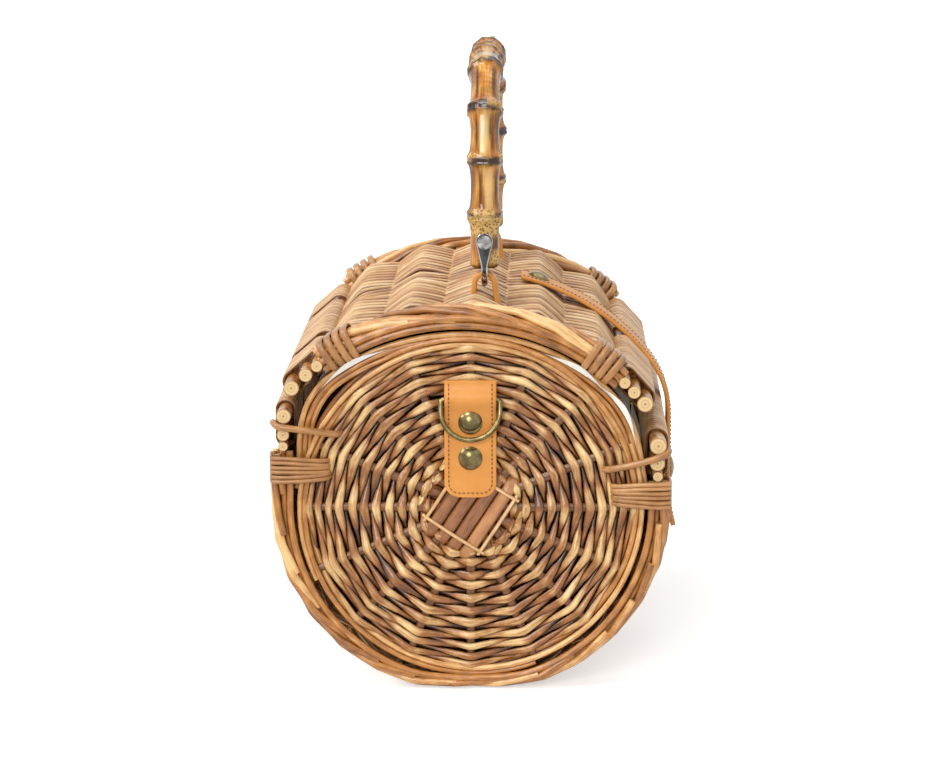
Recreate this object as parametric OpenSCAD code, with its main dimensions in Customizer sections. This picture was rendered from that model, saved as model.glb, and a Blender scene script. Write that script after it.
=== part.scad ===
// Wicker barrel bag with a hinged lid, an arched bamboo handle and a leather closing strap.
// Millimetres. X runs from the hinge side to the strap side, Y along the barrel, Z up from the floor.

/* [Basket] */
// Width of the basket over its straight sides
bag_w = 190; // [176:1:210]
// Length of the bag over its end borders
bag_l = 248; // [220:1:290]
// Width of the flat that the basket stands on
flat_w = 41; // [24:1:56]
// Outer radius of the corners beside the flat
corner_r = 40; // [32:1:50]
// Depth of the wall's middle below the outline of the basket
wall_depth = 5; // [4.8:0.1:6]
// Thickness of the cotton lining
lining_t = 0.8; // [0.6:0.1:1.2]

/* [Weave] */
// Thickness of a woven strip of the wall and lid
strip_t = 4; // [3:0.1:4.4]
// Height that a strip rises and dips at a stake
strip_rise = 2.2; // [1:0.1:2.3]
// Distance between two stakes
stake_pitch = 28.8; // [24:0.2:34]
// Rows of strips along the barrel
row_count = 46; // [40:1:52]
// Rows that share one turn of cane round a rim
rows_per_wrap = 2; // [2:1:3]

/* [Rims] */
// Height of the hinge rod
hinge_z = 135; // [128:1:142]
// Height of the top rod of the front rim
front_rim_z = 121; // [116:1:128]
// Radius of the hinge rod
hinge_rod_r = 3.7; // [3.2:0.1:4]
// Radii of the two rods under the hinge rod
back_rod_r = [3, 2.4];
// Radii of the three rods of the front rim
front_rod_r = [4.3, 3.7, 2.6];
// Radii of the three rods along each edge of the lid
lid_rod_r = [4, 3.3, 3];
// Thickness of the cane in wraps, bindings and hinge loops
cane_t = 1.3; // [1:0.1:1.5]
// Radius of the rods in the end borders
border_rod_r = 2.5; // [2.2:0.1:2.6]

/* [Lid] */
// Radius of the lid's middle surface
lid_r = 114; // [108:1:124]
// Height of the lid's back edge rod over the hinge rod
lid_back_rise = 13.9; // [13:0.1:16]
// Distance of the lid's back edge rod inside the hinge rod
lid_back_inset = 4.2; // [3:0.1:6]
// Height of the lid's front edge rod over the front rim's top rod
lid_front_rise = 20.5; // [18:0.1:24]
// Distance of the lid's front edge rod inside the front rim
lid_front_inset = 6.5; // [5:0.1:8]
// Distance of each hinge loop from the middle of the bag
hinge_y = 59; // [45:1:70]
// Width of a hinge loop
hinge_loop_w = 8; // [6:0.5:10]

/* [End panels] */
// Outer radius of an end panel
panel_r = 84.6; // [80:0.1:85]
// Distance of a panel's middle from the end of the bag
panel_inset = 5; // [4.6:0.1:6]
// Rows of weaving on a panel
panel_rows = 9; // [6:1:11]
// Spokes of a panel
spokes = 16; // [12:4:20]
// Radius of the plain middle of a panel
hub_r = 24; // [22:1:27]
// Width of the band of rods round a panel
panel_band = 7.4; // [6.8:0.1:8]
// Width of a stick of the crossed middle
stick_w = 6.8; // [6:0.1:7.4]
// Angle of the front sticks from the floor
stick_angle = 57; // [40:1:70]

/* [Ring tabs] */
// Width of a leather tab
tab_w = 25; // [22:0.5:27]
// Height of a leather tab
tab_h = 57; // [54:1:62]
// Height of a tab's lower end
tab_z = 96; // [94:1:100]
// Thickness of a tab
tab_t = 2.2; // [2:0.1:2.6]
// Distance of the ring's bar under the tab's top
tab_fold = 9; // [8:0.5:10]
// Radius of the ring wire
ring_wire_r = 1.25; // [1:0.05:1.4]
// Height of a ring from its bar to its outer edge
ring_h = 20.8; // [19.5:0.1:22]
// Radius of a tab rivet's cap
rivet_r = 5.8; // [5:0.1:6]
// Distance between the two rivets of a tab
rivet_pitch = 17.4; // [16.5:0.1:18.5]

/* [Handle] */
// Distance of the handle from the middle of the basket, towards the strap
handle_x = 6; // [0:0.5:8]
// Distance between the two legs of the handle
handle_span = 150; // [130:1:160]
// Height of the handle from the foot of a leg to the top
handle_h = 105; // [90:1:130]
// Bend radius of the handle's two corners
handle_bend = 40; // [30:1:50]
// Radius of the bamboo between its nodes
bamboo_r = 7.4; // [6.8:0.1:7.8]
// Radius of the bamboo at a node
bamboo_node_r = 9.6; // [8.6:0.1:10]
// Internodes along the handle
internodes = 12; // [10:1:14]
// Middle radius of a shackle's bow
shackle_r = 10.4; // [10.2:0.1:11.5]
// Radius of a shackle's wire
shackle_wire_r = 1.9; // [1.6:0.1:2]
// Height of the screw over a shackle's bow
screw_h = 21.7; // [20.5:0.1:24]
// Radius of a shackle screw
screw_r = 2; // [1.7:0.1:2.2]
// Thickness of the leather in the handle tabs
loop_t = 2.8; // [1.8:0.1:3]
// Width of a handle tab
loop_w = 10; // [8:0.5:10]

/* [Strap] */
// Width of the closing strap
strap_w = 22; // [18:0.5:26]
// Thickness of the closing strap
strap_t = 2.4; // [2:0.1:2.8]
// Distance of the strap's upper end from the middle of the lid
strap_start = 28; // [22:1:34]
// Bend radius of the strap's middle where it leaves the lid
strap_bend = 50; // [44:1:54]
// Gap between the strap and the wrapped front rim
strap_clear = 2.25; // [1.8:0.05:3]
// Height of the press stud
snap_z = 85; // [78:1:92]
// Length of the strap below the press stud
strap_tail = 31; // [16:1:36]
// Radius of the press stud's cap
snap_r = 7; // [6:0.1:8]

/* [Fits] */
// Gap between two pieces that lie against each other
fit_gap = 0.3; // [0.25:0.01:0.35]
// Radial clearance of a running fit
run_gap = 0.08; // [0.04:0.01:0.1]

/* [Hidden] */
$fn = 48;
degree = 180 / PI;

// Outline of the basket, seen along the barrel
outer_r = bag_w / 2;
flat_x = flat_w / 2;
side_z = corner_r + sqrt(pow(outer_r - corner_r, 2) - flat_x * flat_x);
corner_a = atan2(flat_x, side_z - corner_r);
wall_x = outer_r - wall_depth;
weave_out = strip_rise + strip_t / 2;

// Rows along the barrel: border, cane, wall, cane, border
end_y = bag_l / 2;
border_pitch = 2 * border_rod_r + 0.1;
border_w = 2 * border_rod_r + 2 * border_pitch;
weave_y = end_y - border_w - cane_t - 2 * fit_gap;
row_pitch = 2 * weave_y / row_count;
wrap_count = round(row_count / rows_per_wrap);
wrap_pitch = 2 * weave_y / wrap_count;
wrap_w = wrap_pitch - 1.2;

// Rods of the two rims of the basket
hinge_room = cane_t + 3 * fit_gap;
back_rod_z = [
    hinge_z - hinge_rod_r - hinge_room - back_rod_r[0],
    hinge_z - hinge_rod_r - hinge_room - 2 * back_rod_r[0] - fit_gap - back_rod_r[1]
];
front_rod_z = [
    front_rim_z,
    front_rim_z - front_rod_r[0] - fit_gap - front_rod_r[1],
    front_rim_z - front_rod_r[0] - 2 * front_rod_r[1] - 2 * fit_gap - front_rod_r[2]
];
back_rods_end = back_rod_z[1] - back_rod_r[1];
front_rods_end = front_rod_z[2] - front_rod_r[2];
wall_back_z = back_rods_end - cane_t - 2 * fit_gap;
wall_front_z = front_rods_end - cane_t - 2 * fit_gap;
hinge_at = [-wall_x, hinge_z];

// Arc of the lid through its two edge rods
lid_back = [-wall_x + lid_back_inset, hinge_z + lid_back_rise];
lid_front = [wall_x - lid_front_inset, front_rim_z + lid_front_rise];
lid_chord = lid_front - lid_back;
lid_drop = sqrt(lid_r * lid_r - lid_chord * lid_chord / 4);
lid_mid = (lid_back + lid_front) / 2;
lid_c = lid_mid + lid_drop * [lid_chord[1], -lid_chord[0]] / norm(lid_chord);
lid_back_a = atan2(lid_back[1] - lid_c[1], lid_back[0] - lid_c[0]);
lid_front_a = atan2(lid_front[1] - lid_c[1], lid_front[0] - lid_c[0]);
lid_step = [
    lid_rod_r[0] + lid_rod_r[1] + fit_gap,
    lid_rod_r[0] + 2 * lid_rod_r[1] + lid_rod_r[2] + 2 * fit_gap
];
function lid_angle(edge_a, way, run) = edge_a + way * run / lid_r * degree;
lid_back_as = [
    lid_back_a,
    lid_angle(lid_back_a, -1, lid_step[0] + hinge_room - fit_gap),
    lid_angle(lid_back_a, -1, lid_step[1] + hinge_room - fit_gap)
];
lid_front_as = [
    lid_front_a,
    lid_angle(lid_front_a, 1, lid_step[0]),
    lid_angle(lid_front_a, 1, lid_step[1])
];
function on_lid(a, r) = lid_c + r * [cos(a), sin(a)];
lid_rods_run = lid_rod_r[2] + fit_gap;
lid_wraps_run = lid_rods_run + cane_t + fit_gap;
lid_top = lid_c[1] + lid_r;
lid_border_out = lid_r + 4 * border_rod_r - 2.3;

// End panels, measured outwards from the middle of a panel
panel_y = end_y - panel_inset;
panel_z = panel_r + 2 * border_rod_r + fit_gap;
lid_border_in = min(lid_r - 2, norm(lid_c - [0, panel_z]) + panel_r + 6 * fit_gap);
panel_weave_r = panel_r - panel_band - fit_gap;
panel_row = (panel_weave_r - 3 - hub_r) / panel_rows;
panel_rise = 2.2;
panel_half_t = 1.8;
hub_half_t = 1.5;
panel_out = panel_rise + panel_half_t;
panel_rod_r = panel_band / 4 + 0.1;
binding_rows = 3;

// Ring tabs, measured outwards from the crest of a panel
tab_y = panel_y + panel_out + fit_gap;
bar_z = tab_z + tab_h - tab_fold;
bar_y = tab_y + tab_t - 0.2;
ring_x = tab_w / 2 + ring_wire_r + 0.5;
ring_tilt = 14;
ring_elbow = ring_x - tab_w / 2;
top_rivet_z = bar_z - 11.4;
rivet_zs = [top_rivet_z, top_rivet_z - rivet_pitch];
shank_r = 1.6;

// Handle and shackles
bow_z = lid_c[1] + lid_border_out + 2;
screw_z = bow_z + screw_h;
foot_z = bow_z + 8;
handle_top = foot_z + handle_h - bamboo_node_r;
handle_leg = handle_top - handle_bend - foot_z;
handle_arc = handle_bend * PI / 2;
handle_flat = handle_span / 2 - handle_bend;
handle_run = 2 * (handle_leg + handle_arc + handle_flat);
internode = handle_run / internodes;
plate_t = 1.6;
plate_w = 8.4;
screw_head_r = 3.4;
loop_in_r = shackle_wire_r + shackle_r - sqrt(shackle_r * shackle_r - loop_w * loop_w / 4) + 1.5 * fit_gap;

// Closing strap
strap_in = lid_r + weave_out + 2 * fit_gap;
strap_mid = strap_in + strap_t / 2;
strap_leave = lid_front_a + 2.5;
strap_x = wall_x + front_rod_r[0] + fit_gap + cane_t + strap_clear + strap_t / 2;
strap_off = on_lid(strap_leave, strap_mid);
strap_reach = strap_x - strap_off[0];
strap_turn = min(strap_bend, strap_reach / (1 - cos(strap_leave)));
strap_straight = (strap_reach - strap_turn * (1 - cos(strap_leave))) / sin(strap_leave);
strap_c = strap_off + strap_straight * [sin(strap_leave), -cos(strap_leave)]
    - strap_turn * [cos(strap_leave), sin(strap_leave)];
strap_start_a = acos(strap_start / strap_mid);
strap_rivet_a = strap_start_a - 9 / strap_mid * degree;
strap_tip_z = snap_z - strap_tail;

// Stands a drawing of X and Z up at a place along the barrel
module upright(y = 0) {
    translate([0, y, 0]) rotate([90, 0, 0]) children();
}

// Puts a piece of the left end on the right end as well
module right_end() {
    mirror([0, 1, 0]) children();
}

// Path at a depth under the basket's outline, from a rim down to the middle of the flat and up to the
// other rim: [x, z, outward x, outward z] at a run s
function arc_at(c, r, a) = [c[0] + r * cos(a), c[1] + r * sin(a), cos(a), sin(a)];
function side_run(depth) = (90 - corner_a) / degree * (outer_r - depth);
function half_run(rim_z, depth) =
    rim_z - side_z + side_run(depth) + corner_a / degree * (corner_r - depth) + flat_x;
function half_at(s, rim_z, depth) =
    let (
        r = outer_r - depth,
        rc = corner_r - depth,
        s1 = s - (rim_z - side_z),
        s2 = s1 - side_run(depth),
        s3 = s2 - corner_a / degree * rc
    )
    s1 < 0 ? [-r, rim_z - s, -1, 0]
    : s2 < 0 ? arc_at([0, side_z], r, 180 + s1 / r * degree)
    : s3 < 0 ? arc_at([-flat_x, corner_r], rc, 270 - corner_a + s2 / rc * degree)
    : [s3 - flat_x, depth, 0, -1];
function outline_run(back_z, front_z, depth) = half_run(back_z, depth) + half_run(front_z, depth);
function outline_at(s, back_z, front_z, depth) =
    s <= half_run(back_z, depth) ? half_at(s, back_z, depth)
    : let (p = half_at(outline_run(back_z, front_z, depth) - s, front_z, depth)) [-p[0], p[1], -p[2], p[3]];

// A tube through stops of [middle, across, across, radius], with flat ends
module swept_tube(stops, sides) {
    n = len(stops);
    points = [for (stop = stops, k = [0 : sides - 1])
        let (a = k * 360 / sides)
        stop[0] + stop[3] * (cos(a) * stop[1] + sin(a) * stop[2])
    ];
    walls = [for (i = [0 : n - 2], k = [0 : sides - 1])
        let (a = i * sides + k, b = i * sides + (k + 1) % sides)
        each [[a, a + sides, b + sides], [a, b + sides, b]]
    ];
    caps = [[for (k = [0 : sides - 1]) k], [for (k = [sides - 1 : -1 : 0]) (n - 1) * sides + k]];
    polyhedron(points, concat(walls, caps), convexity = 4);
}

// Faces of a sheet between two grids of points, with the cells that keep(i, j) leaves out open.
// The first grid's points come first; ring = 1 joins the last column to the first.
function sheet_faces(ni, nj, ring, keep) =
    let (
        cols = ring ? ni : ni + 1,
        size = cols * (nj + 1),
        at = function (i, j) (i % cols) * (nj + 1) + j,
        has = function (i, j) (ring || (i >= 0 && i < ni)) && j >= 0 && j < nj && keep((i + ni) % ni, j)
    )
    [for (i = [0 : ni - 1], j = [0 : nj - 1]) if (keep(i, j))
        let (a = at(i, j), b = at(i + 1, j), c = at(i + 1, j + 1), d = at(i, j + 1))
        each concat(
            [[a, b, c], [a, c, d], [a + size, c + size, b + size], [a + size, d + size, c + size]],
            has(i, j - 1) ? [] : [[b, a, a + size], [b, a + size, b + size]],
            has(i, j + 1) ? [] : [[d, c, c + size], [d, c + size, d + size]],
            has(i - 1, j) ? [] : [[a, d, d + size], [a, d + size, a + size]],
            has(i + 1, j) ? [] : [[c, b, b + size], [c, b + size, c + size]]
        )
    ];

// A woven sheet: strips run along the stations and pass over and under a stake at every second one.
// Its columns are the two edges and the middle of each row.
function strip_lift(i, j) =
    i % 2 == 1 && j > 0 && j <= row_count ? strip_rise * (((i + 1) / 2 + j) % 2 == 0 ? 1 : -1) : 0;
function row_y(j) = max(-weave_y, min(weave_y, -weave_y + (j - 0.5) * row_pitch));
module woven_sheet(stations) {
    ni = len(stations) - 1;
    nj = row_count + 1;
    points = [for (side = [1, -1], i = [0 : ni], j = [0 : nj])
        let (p = stations[i], off = strip_lift(i, j) + side * strip_t / 2)
        [p[0] + p[2] * off, row_y(j), p[1] + p[3] * off]
    ];
    polyhedron(points, sheet_faces(ni, nj, 0, function (i, j) true), convexity = 8);
}

// A woven disc about Y, facing -Y, with a plain middle and small gaps beside some spokes
function disc_lift(i, j) =
    i % 2 == 0 && j % 2 == 1 ? panel_rise * (((i + j - 1) / 2) % 2 == 0 ? 1 : -1) : 0;
module woven_disc() {
    ni = 2 * spokes;
    nj = 2 * panel_rows + 1;
    step = 360 / ni;
    ring_r = [for (j = [0 : nj]) j < nj ? hub_r + j * panel_row / 2 : panel_weave_r];
    grid = [for (side = [1, -1], i = [0 : ni - 1], j = [0 : nj])
        let (
            half = j == 0 ? hub_half_t : j % 2 == 0 || j == nj ? panel_half_t - 0.5 : panel_half_t,
            off = (j < nj ? disc_lift(i, j) : 0) + side * half
        )
        [ring_r[j] * cos(i * step), -off, ring_r[j] * sin(i * step)]
    ];
    size = ni * (nj + 1);
    hub = [[0, -hub_half_t, 0], [0, hub_half_t, 0]];
    quarter = ni / 4;
    gap = function (i, j) j % 4 == 3 && j < nj - 1 && i % 4 == (i >= quarter && i < 3 * quarter ? 2 : 0);
    rim_faces = [for (f = sheet_faces(ni, nj, 1, function (i, j) !gap(i, j)))
        if (!is_hub_wall(f, nj, size)) f
    ];
    hub_faces = [for (i = [0 : ni - 1])
        let (a = i * (nj + 1), b = ((i + 1) % ni) * (nj + 1))
        each [[2 * size, b, a], [2 * size + 1, a + size, b + size]]
    ];
    polyhedron(concat(grid, hub), concat(rim_faces, hub_faces), convexity = 8);
}
function is_hub_wall(f, nj, size) =
    len([for (v = f) if (v % size % (nj + 1) == 0) v]) == 3;

// A round-ended slot between two points, in a drawing
module slot(a, b, r) {
    run = b - a;
    translate(a) rotate(atan2(run[1], run[0])) {
        circle(r);
        translate([norm(run), 0]) circle(r);
        translate([0, -r]) square([norm(run), 2 * r]);
    }
}

// Rods along the barrel at the given points of the XZ plane
module rods(places, radii) {
    for (k = [0 : len(places) - 1])
        upright() translate(places[k]) cylinder(h = bag_l, r = radii[k], center = true);
}

// Cane turned round a row of rods, once for every few rows of the weave, but for the places left free
module rim_wraps(first, last, last_r, r, free) {
    way = (first - last) / norm(first - last);
    foot = last + way * (r - last_r);
    for (k = [0 : wrap_count - 1]) {
        y = -weave_y + (k + 0.5) * wrap_pitch;
        near = min([for (f = free) abs(y - f[0]) - f[1]]);
        if (near > wrap_w / 2 + 2 * fit_gap)
            upright(y) linear_extrude(wrap_w, center = true) difference() {
                slot(first, foot, r + fit_gap + cane_t);
                slot(first, foot, r + fit_gap);
            }
    }
}

// Section of a border: rods side by side along Y, drawn with X as the distance from the centre
module border_section(layers) {
    for (layer = layers, k = [0 : 2])
        translate([layer, -end_y + border_rod_r + k * border_pitch]) circle(border_rod_r);
    if (len(layers) > 1)
        translate([layers[0], -end_y + border_rod_r])
            square([layers[len(layers) - 1] - layers[0], 2 * border_pitch]);
}

// A border section swept round a centre of the XZ plane; the section's Y stays along the barrel
module border_arc(c, from, to) {
    translate([c[0], 0, c[1]]) rotate([90, 0, 0]) mirror([0, 0, 1])
        rotate_extrude(angle = to - from, start = from, $fn = 96) children();
}

// Three bent rods side by side round the end of the wall, from one rim to the other
module left_wall_border_solid() {
    back_z = back_rods_end - fit_gap;
    front_z = front_rods_end - fit_gap;
    run = outline_run(back_z, front_z, border_rod_r);
    rings = 40;
    for (k = [0 : 2]) {
        y = -end_y + border_rod_r + k * border_pitch;
        swept_tube([for (i = [0 : rings])
            let (p = outline_at(run * i / rings, back_z, front_z, border_rod_r))
            [[p[0], y, p[1]], [p[2], 0, p[3]], [0, -1, 0], border_rod_r]
        ], 6);
    }
}

module left_lid_border_solid() {
    from = lid_angle(lid_front_as[2], 1, lid_rods_run);
    to = lid_angle(lid_back_as[2], -1, lid_rods_run);
    border_arc(lid_c, from, to)
        border_section([lid_border_in + border_rod_r, (lid_border_in + lid_border_out) / 2,
                        lid_border_out - border_rod_r]);
}

// Flat cane turned round the border of the lid, four turns side by side
module lid_binding(a) {
    turn_w = 3.6;
    turn_pitch = 4.2;
    in_r = lid_border_in - fit_gap;
    height = lid_border_out - lid_border_in + 2 * fit_gap;
    width = border_w + 2 * fit_gap;
    for (k = [-1.5 : 1.5])
        translate([lid_c[0], 0, lid_c[1]]) rotate([0, -a - k * turn_pitch / lid_r * degree, 0])
            translate([in_r, -end_y - fit_gap, 0]) linear_extrude(turn_w, center = true) difference() {
                translate([-cane_t, -cane_t]) square([height + 2 * cane_t, width + 2 * cane_t]);
                square([height, width]);
            }
}

module left_lid_bindings_solid() {
    turns = 4 * 4.2 / 2 + fit_gap + lid_wraps_run;
    lid_binding(lid_angle(lid_front_as[2], 1, turns));
    lid_binding(lid_angle(lid_back_as[2], -1, turns));
}

// Flat cane that ties an end panel to the end of the wall, three turns above each other
module end_binding(side, z) {
    turn_h = 4;
    turn_pitch = 4.6;
    back_y = -end_y + border_w + fit_gap;
    front_y = -end_y - fit_gap;
    edge_x = outer_r + fit_gap;
    reach = panel_weave_r - 9;
    for (k = [0 : binding_rows - 1])
        translate([0, 0, z + (k - 1) * turn_pitch]) linear_extrude(turn_h, center = true) {
            scale_x(side) translate([reach, front_y - cane_t]) square([edge_x + cane_t - reach, cane_t]);
            scale_x(side) translate([edge_x, front_y - cane_t]) square([cane_t, back_y - front_y + 2 * cane_t]);
            scale_x(side) translate([wall_x, back_y]) square([edge_x + cane_t - wall_x, cane_t]);
        }
}
module scale_x(side) {
    mirror([side < 0 ? 1 : 0, 0, 0]) children();
}

module left_end_bindings_solid() {
    end_binding(-1, panel_z + 0.225 * panel_r);
    end_binding(1, panel_z + 0.083 * panel_r);
}

// Sticks of the crossed middle: four outside, four inside at right angles to them
module left_cross_solid() {
    rise = panel_out - hub_half_t - fit_gap;
    long = hub_r * 1.55;
    for (inside = [0, 1], k = [-1.5 : 1.5])
        translate([0, -panel_y, panel_z]) rotate([0, -stick_angle - 90 * inside, 0])
            mirror([0, inside, 0])
                translate([-long / 2, -hub_half_t - fit_gap, k * (stick_w + 0.2)])
                    rotate([90, 0, 90]) linear_extrude(long) intersection() {
                        circle(stick_w / 2);
                        translate([-rise, -stick_w]) square([rise, 2 * stick_w]);
                    }
}

module tab_bores(r) {
    for (z = rivet_zs)
        translate([0, -panel_y, z]) rotate([90, 0, 0]) cylinder(h = 40, r = r, center = true);
}

module left_tab_solid() {
    end_r = 7;
    difference() {
        union() {
            translate([-tab_w / 2 + end_r, -tab_y - tab_t, tab_z]) cube([tab_w - 2 * end_r, tab_t, tab_h]);
            translate([-tab_w / 2, -tab_y - tab_t, tab_z + end_r]) cube([tab_w, tab_t, tab_h - end_r]);
            for (side = [-1, 1])
                translate([side * (tab_w / 2 - end_r), -tab_y, tab_z + end_r]) rotate([90, 0, 0])
                    cylinder(h = tab_t, r = end_r);
            translate([-tab_w / 2, -bar_y, bar_z]) rotate([0, 90, 0])
                cylinder(h = tab_w, r = ring_wire_r + run_gap + 1.5);
        }
        translate([-tab_w, -tab_y, bar_z - 10]) cube([2 * tab_w, 10, 20]);
        translate([-tab_w, -bar_y, bar_z]) rotate([0, 90, 0])
            cylinder(h = 2 * tab_w, r = ring_wire_r + run_gap);
        tab_bores(shank_r + run_gap);
    }
}

// Domed rivets through tab and panel, with a washer inside the basket
module left_rivets_solid() {
    dome = 2.6;
    dome_r = (rivet_r * rivet_r + dome * dome) / (2 * dome);
    front = tab_y + tab_t + 0.1;
    inside = panel_y - panel_out - fit_gap;
    for (z = rivet_zs)
        translate([0, 0, z]) rotate([90, 0, 0]) {
            translate([0, 0, front]) intersection() {
                translate([0, 0, dome - dome_r]) sphere(dome_r, $fn = 96);
                cylinder(h = dome + 1, r = rivet_r + 1);
            }
            translate([0, 0, inside - 0.9]) cylinder(h = front - inside + 1.2, r = shank_r);
            translate([0, 0, inside - 0.9]) cylinder(h = 0.9, r = 4.5);
        }
}

// A ring of round wire: a straight bar, two elbows, two short sides and a half circle
module left_ring_solid() {
    side_run = ring_h - ring_wire_r - ring_x;
    translate([0, -bar_y, bar_z]) rotate([-ring_tilt, 0, 0]) {
        rotate([0, 90, 0]) cylinder(h = 2 * (ring_x - ring_elbow), r = ring_wire_r, center = true);
        for (side = [0, 1]) mirror([side, 0, 0]) {
            translate([ring_x - ring_elbow, 0, -ring_elbow]) rotate([90, 0, 0])
                rotate_extrude(angle = 90) translate([ring_elbow, 0]) circle(ring_wire_r);
            translate([ring_x, 0, -side_run]) cylinder(h = side_run - ring_elbow, r = ring_wire_r);
        }
        translate([0, 0, -side_run]) rotate([90, 0, 0])
            rotate_extrude(angle = 180, start = 180, $fn = 96) translate([ring_x, 0]) circle(ring_wire_r);
    }
}

// A cane link that hangs an edge rod of the lid on the hinge rod
module hinge_loop(y) {
    hinge_eye = hinge_rod_r + run_gap;
    lid_eye = lid_rod_r[0] + run_gap;
    run = lid_back - hinge_at;
    upright(y) linear_extrude(hinge_loop_w, center = true) difference() {
        union() {
            translate(hinge_at) circle(hinge_eye + cane_t);
            translate(lid_back) circle(lid_eye + cane_t);
            translate(hinge_at) rotate(atan2(run[1], run[0]))
                translate([0, -2.6]) square([norm(run), 5.2]);
        }
        translate(hinge_at) circle(hinge_eye);
        translate(lid_back) circle(lid_eye);
    }
}

// A leather loop through two slits of the lid, its ends turned out underneath
module handle_tab(y) {
    out_r = loop_in_r + loop_t;
    turn = 8;
    reach = abs(handle_x - lid_c[0]) + loop_in_r + turn;
    under = lid_c[1] + sqrt(pow(lid_r - weave_out - fit_gap, 2) - reach * reach);
    translate([handle_x, 0, 0]) upright(y) linear_extrude(loop_w, center = true) {
        translate([0, bow_z]) difference() {
            circle(out_r);
            circle(loop_in_r);
            translate([-2 * out_r, -2 * out_r]) square([4 * out_r, 2 * out_r]);
        }
        for (side = [-1, 1]) {
            translate([side > 0 ? loop_in_r : -out_r, under - loop_t]) square([loop_t, bow_z - under + loop_t]);
            translate([side > 0 ? loop_in_r : -loop_in_r - turn, under - loop_t]) square([turn, loop_t]);
        }
    }
}

module handle_slits(y) {
    for (side = [-1, 1])
        translate([handle_x + side * (loop_in_r + loop_t / 2), y, lid_top])
            cube([loop_t + 2 * fit_gap, loop_w + 2 * fit_gap, 40], center = true);
}

// A shackle: a round bow under the leather, with a flat eye up each side of the leg
module shackle(y) {
    eye_z = bow_z + shackle_r;
    side = [shackle_wire_r, plate_w / 2];
    translate([0, y, eye_z]) rotate([90, 0, 90])
        rotate_extrude(angle = 180, start = 180, $fn = 96) translate([shackle_r, 0]) circle(shackle_wire_r);
    for (way = [-1, 1])
        upright(y + way * shackle_r) linear_extrude(plate_t, center = true) difference() {
            union() {
                translate([0, screw_z]) circle(plate_w / 2);
                polygon([[-side[0], eye_z - 1], [side[0], eye_z - 1], [side[1], screw_z], [-side[1], screw_z]]);
            }
            translate([0, screw_z]) circle(screw_r + run_gap);
        }
}

module shackle_screw(y) {
    head = 1.6;
    half = shackle_r + plate_t / 2 + 0.1;
    upright(y) translate([0, screw_z]) {
        cylinder(h = 2 * half + head, r = screw_r, center = true);
        for (way = [0, 1]) mirror([0, 0, way]) translate([0, 0, half]) difference() {
            cylinder(h = head, r = screw_head_r);
            translate([-5, -0.4, head - 0.7]) cube([10, 0.8, 2]);
        }
    }
}

// Path of the handle's middle in the YZ plane: [y, z, along y, along z]
function handle_half(s) =
    s < handle_leg ? [-handle_span / 2, foot_z + s, 0, 1]
    : s < handle_leg + handle_arc ?
        let (a = 180 - (s - handle_leg) / handle_bend * degree)
        [-handle_flat + handle_bend * cos(a), handle_top - handle_bend + handle_bend * sin(a), sin(a), -cos(a)]
    : [s - handle_leg - handle_arc - handle_flat, handle_top, 1, 0];
function handle_at(s) =
    s <= handle_run / 2 ? handle_half(s)
    : let (p = handle_half(handle_run - s)) [-p[0], p[1], p[2], -p[3]];
handle_stops = concat(
    [[0, bamboo_r - 0.7], [1.5, bamboo_r]],
    [for (k = [1 : internodes - 1], d = [-7, -3, -1, 1, 3, 7])
        [k * internode + d, abs(d) < 2 ? bamboo_node_r : abs(d) < 5 ? bamboo_r + 0.9 : bamboo_r]],
    [[handle_run - 1.5, bamboo_r], [handle_run, bamboo_r - 0.7]]
);

module bamboo_sweep() {
    swept_tube([for (stop = handle_stops)
        let (p = handle_at(stop[0]))
        [[0, p[0], p[1]], [1, 0, 0], [0, -p[3], p[2]], stop[1]]
    ], 10);
}

// Bent leather: along the lid, round its front edge and straight down over the press stud
strap_arcs = concat(
    [for (k = [0 : 12]) [lid_c, strap_mid, strap_start_a + (strap_leave - strap_start_a) * k / 12]],
    [for (k = [0 : 12]) if (k > 0 || strap_straight > 0.1) [strap_c, strap_turn, strap_leave * (1 - k / 12)]]
);
function on_strap(p, off) = p[0] + (p[1] + off) * [cos(p[2]), sin(p[2])];
module strap_section() {
    half = strap_t / 2;
    polygon(concat(
        [for (p = strap_arcs) on_strap(p, half)],
        [[strap_x + half, strap_tip_z], [strap_x - half, strap_tip_z]],
        [for (k = [len(strap_arcs) - 1 : -1 : 0]) on_strap(strap_arcs[k], -half)]
    ));
}

module at_snap() {
    translate([0, 0, snap_z]) rotate([0, 90, 0]) children();
}

module on_lid_at(a) {
    translate([lid_c[0], 0, lid_c[1]]) rotate([0, 90 - a, 0]) children();
}

// The pieces of the bag
module basket_wall() {
    run = outline_run(wall_back_z, wall_front_z, wall_depth);
    stakes = round(run / stake_pitch);
    color("tan") difference() {
        woven_sheet([for (i = [0 : 2 * stakes])
            outline_at(run * i / (2 * stakes), wall_back_z, wall_front_z, wall_depth)]);
        at_snap() translate([0, 0, wall_x]) cylinder(h = 30, r = shank_r + run_gap, center = true);
    }
}

module lining_outline(depth) {
    r = outer_r - depth;
    rc = corner_r - depth;
    polygon(concat(
        [[-r, back_rod_z[0]]],
        [for (a = [180 : 4 : 270 - corner_a]) [r * cos(a), side_z + r * sin(a)]],
        [for (a = [270 - corner_a : 4 : 270]) [-flat_x + rc * cos(a), corner_r + rc * sin(a)]],
        [for (a = [270 : 4 : 270 + corner_a]) [flat_x + rc * cos(a), corner_r + rc * sin(a)]],
        [for (a = [270 + corner_a : 4 : 360]) [r * cos(a), side_z + r * sin(a)]],
        [[r, front_rod_z[1]]]
    ));
}

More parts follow.
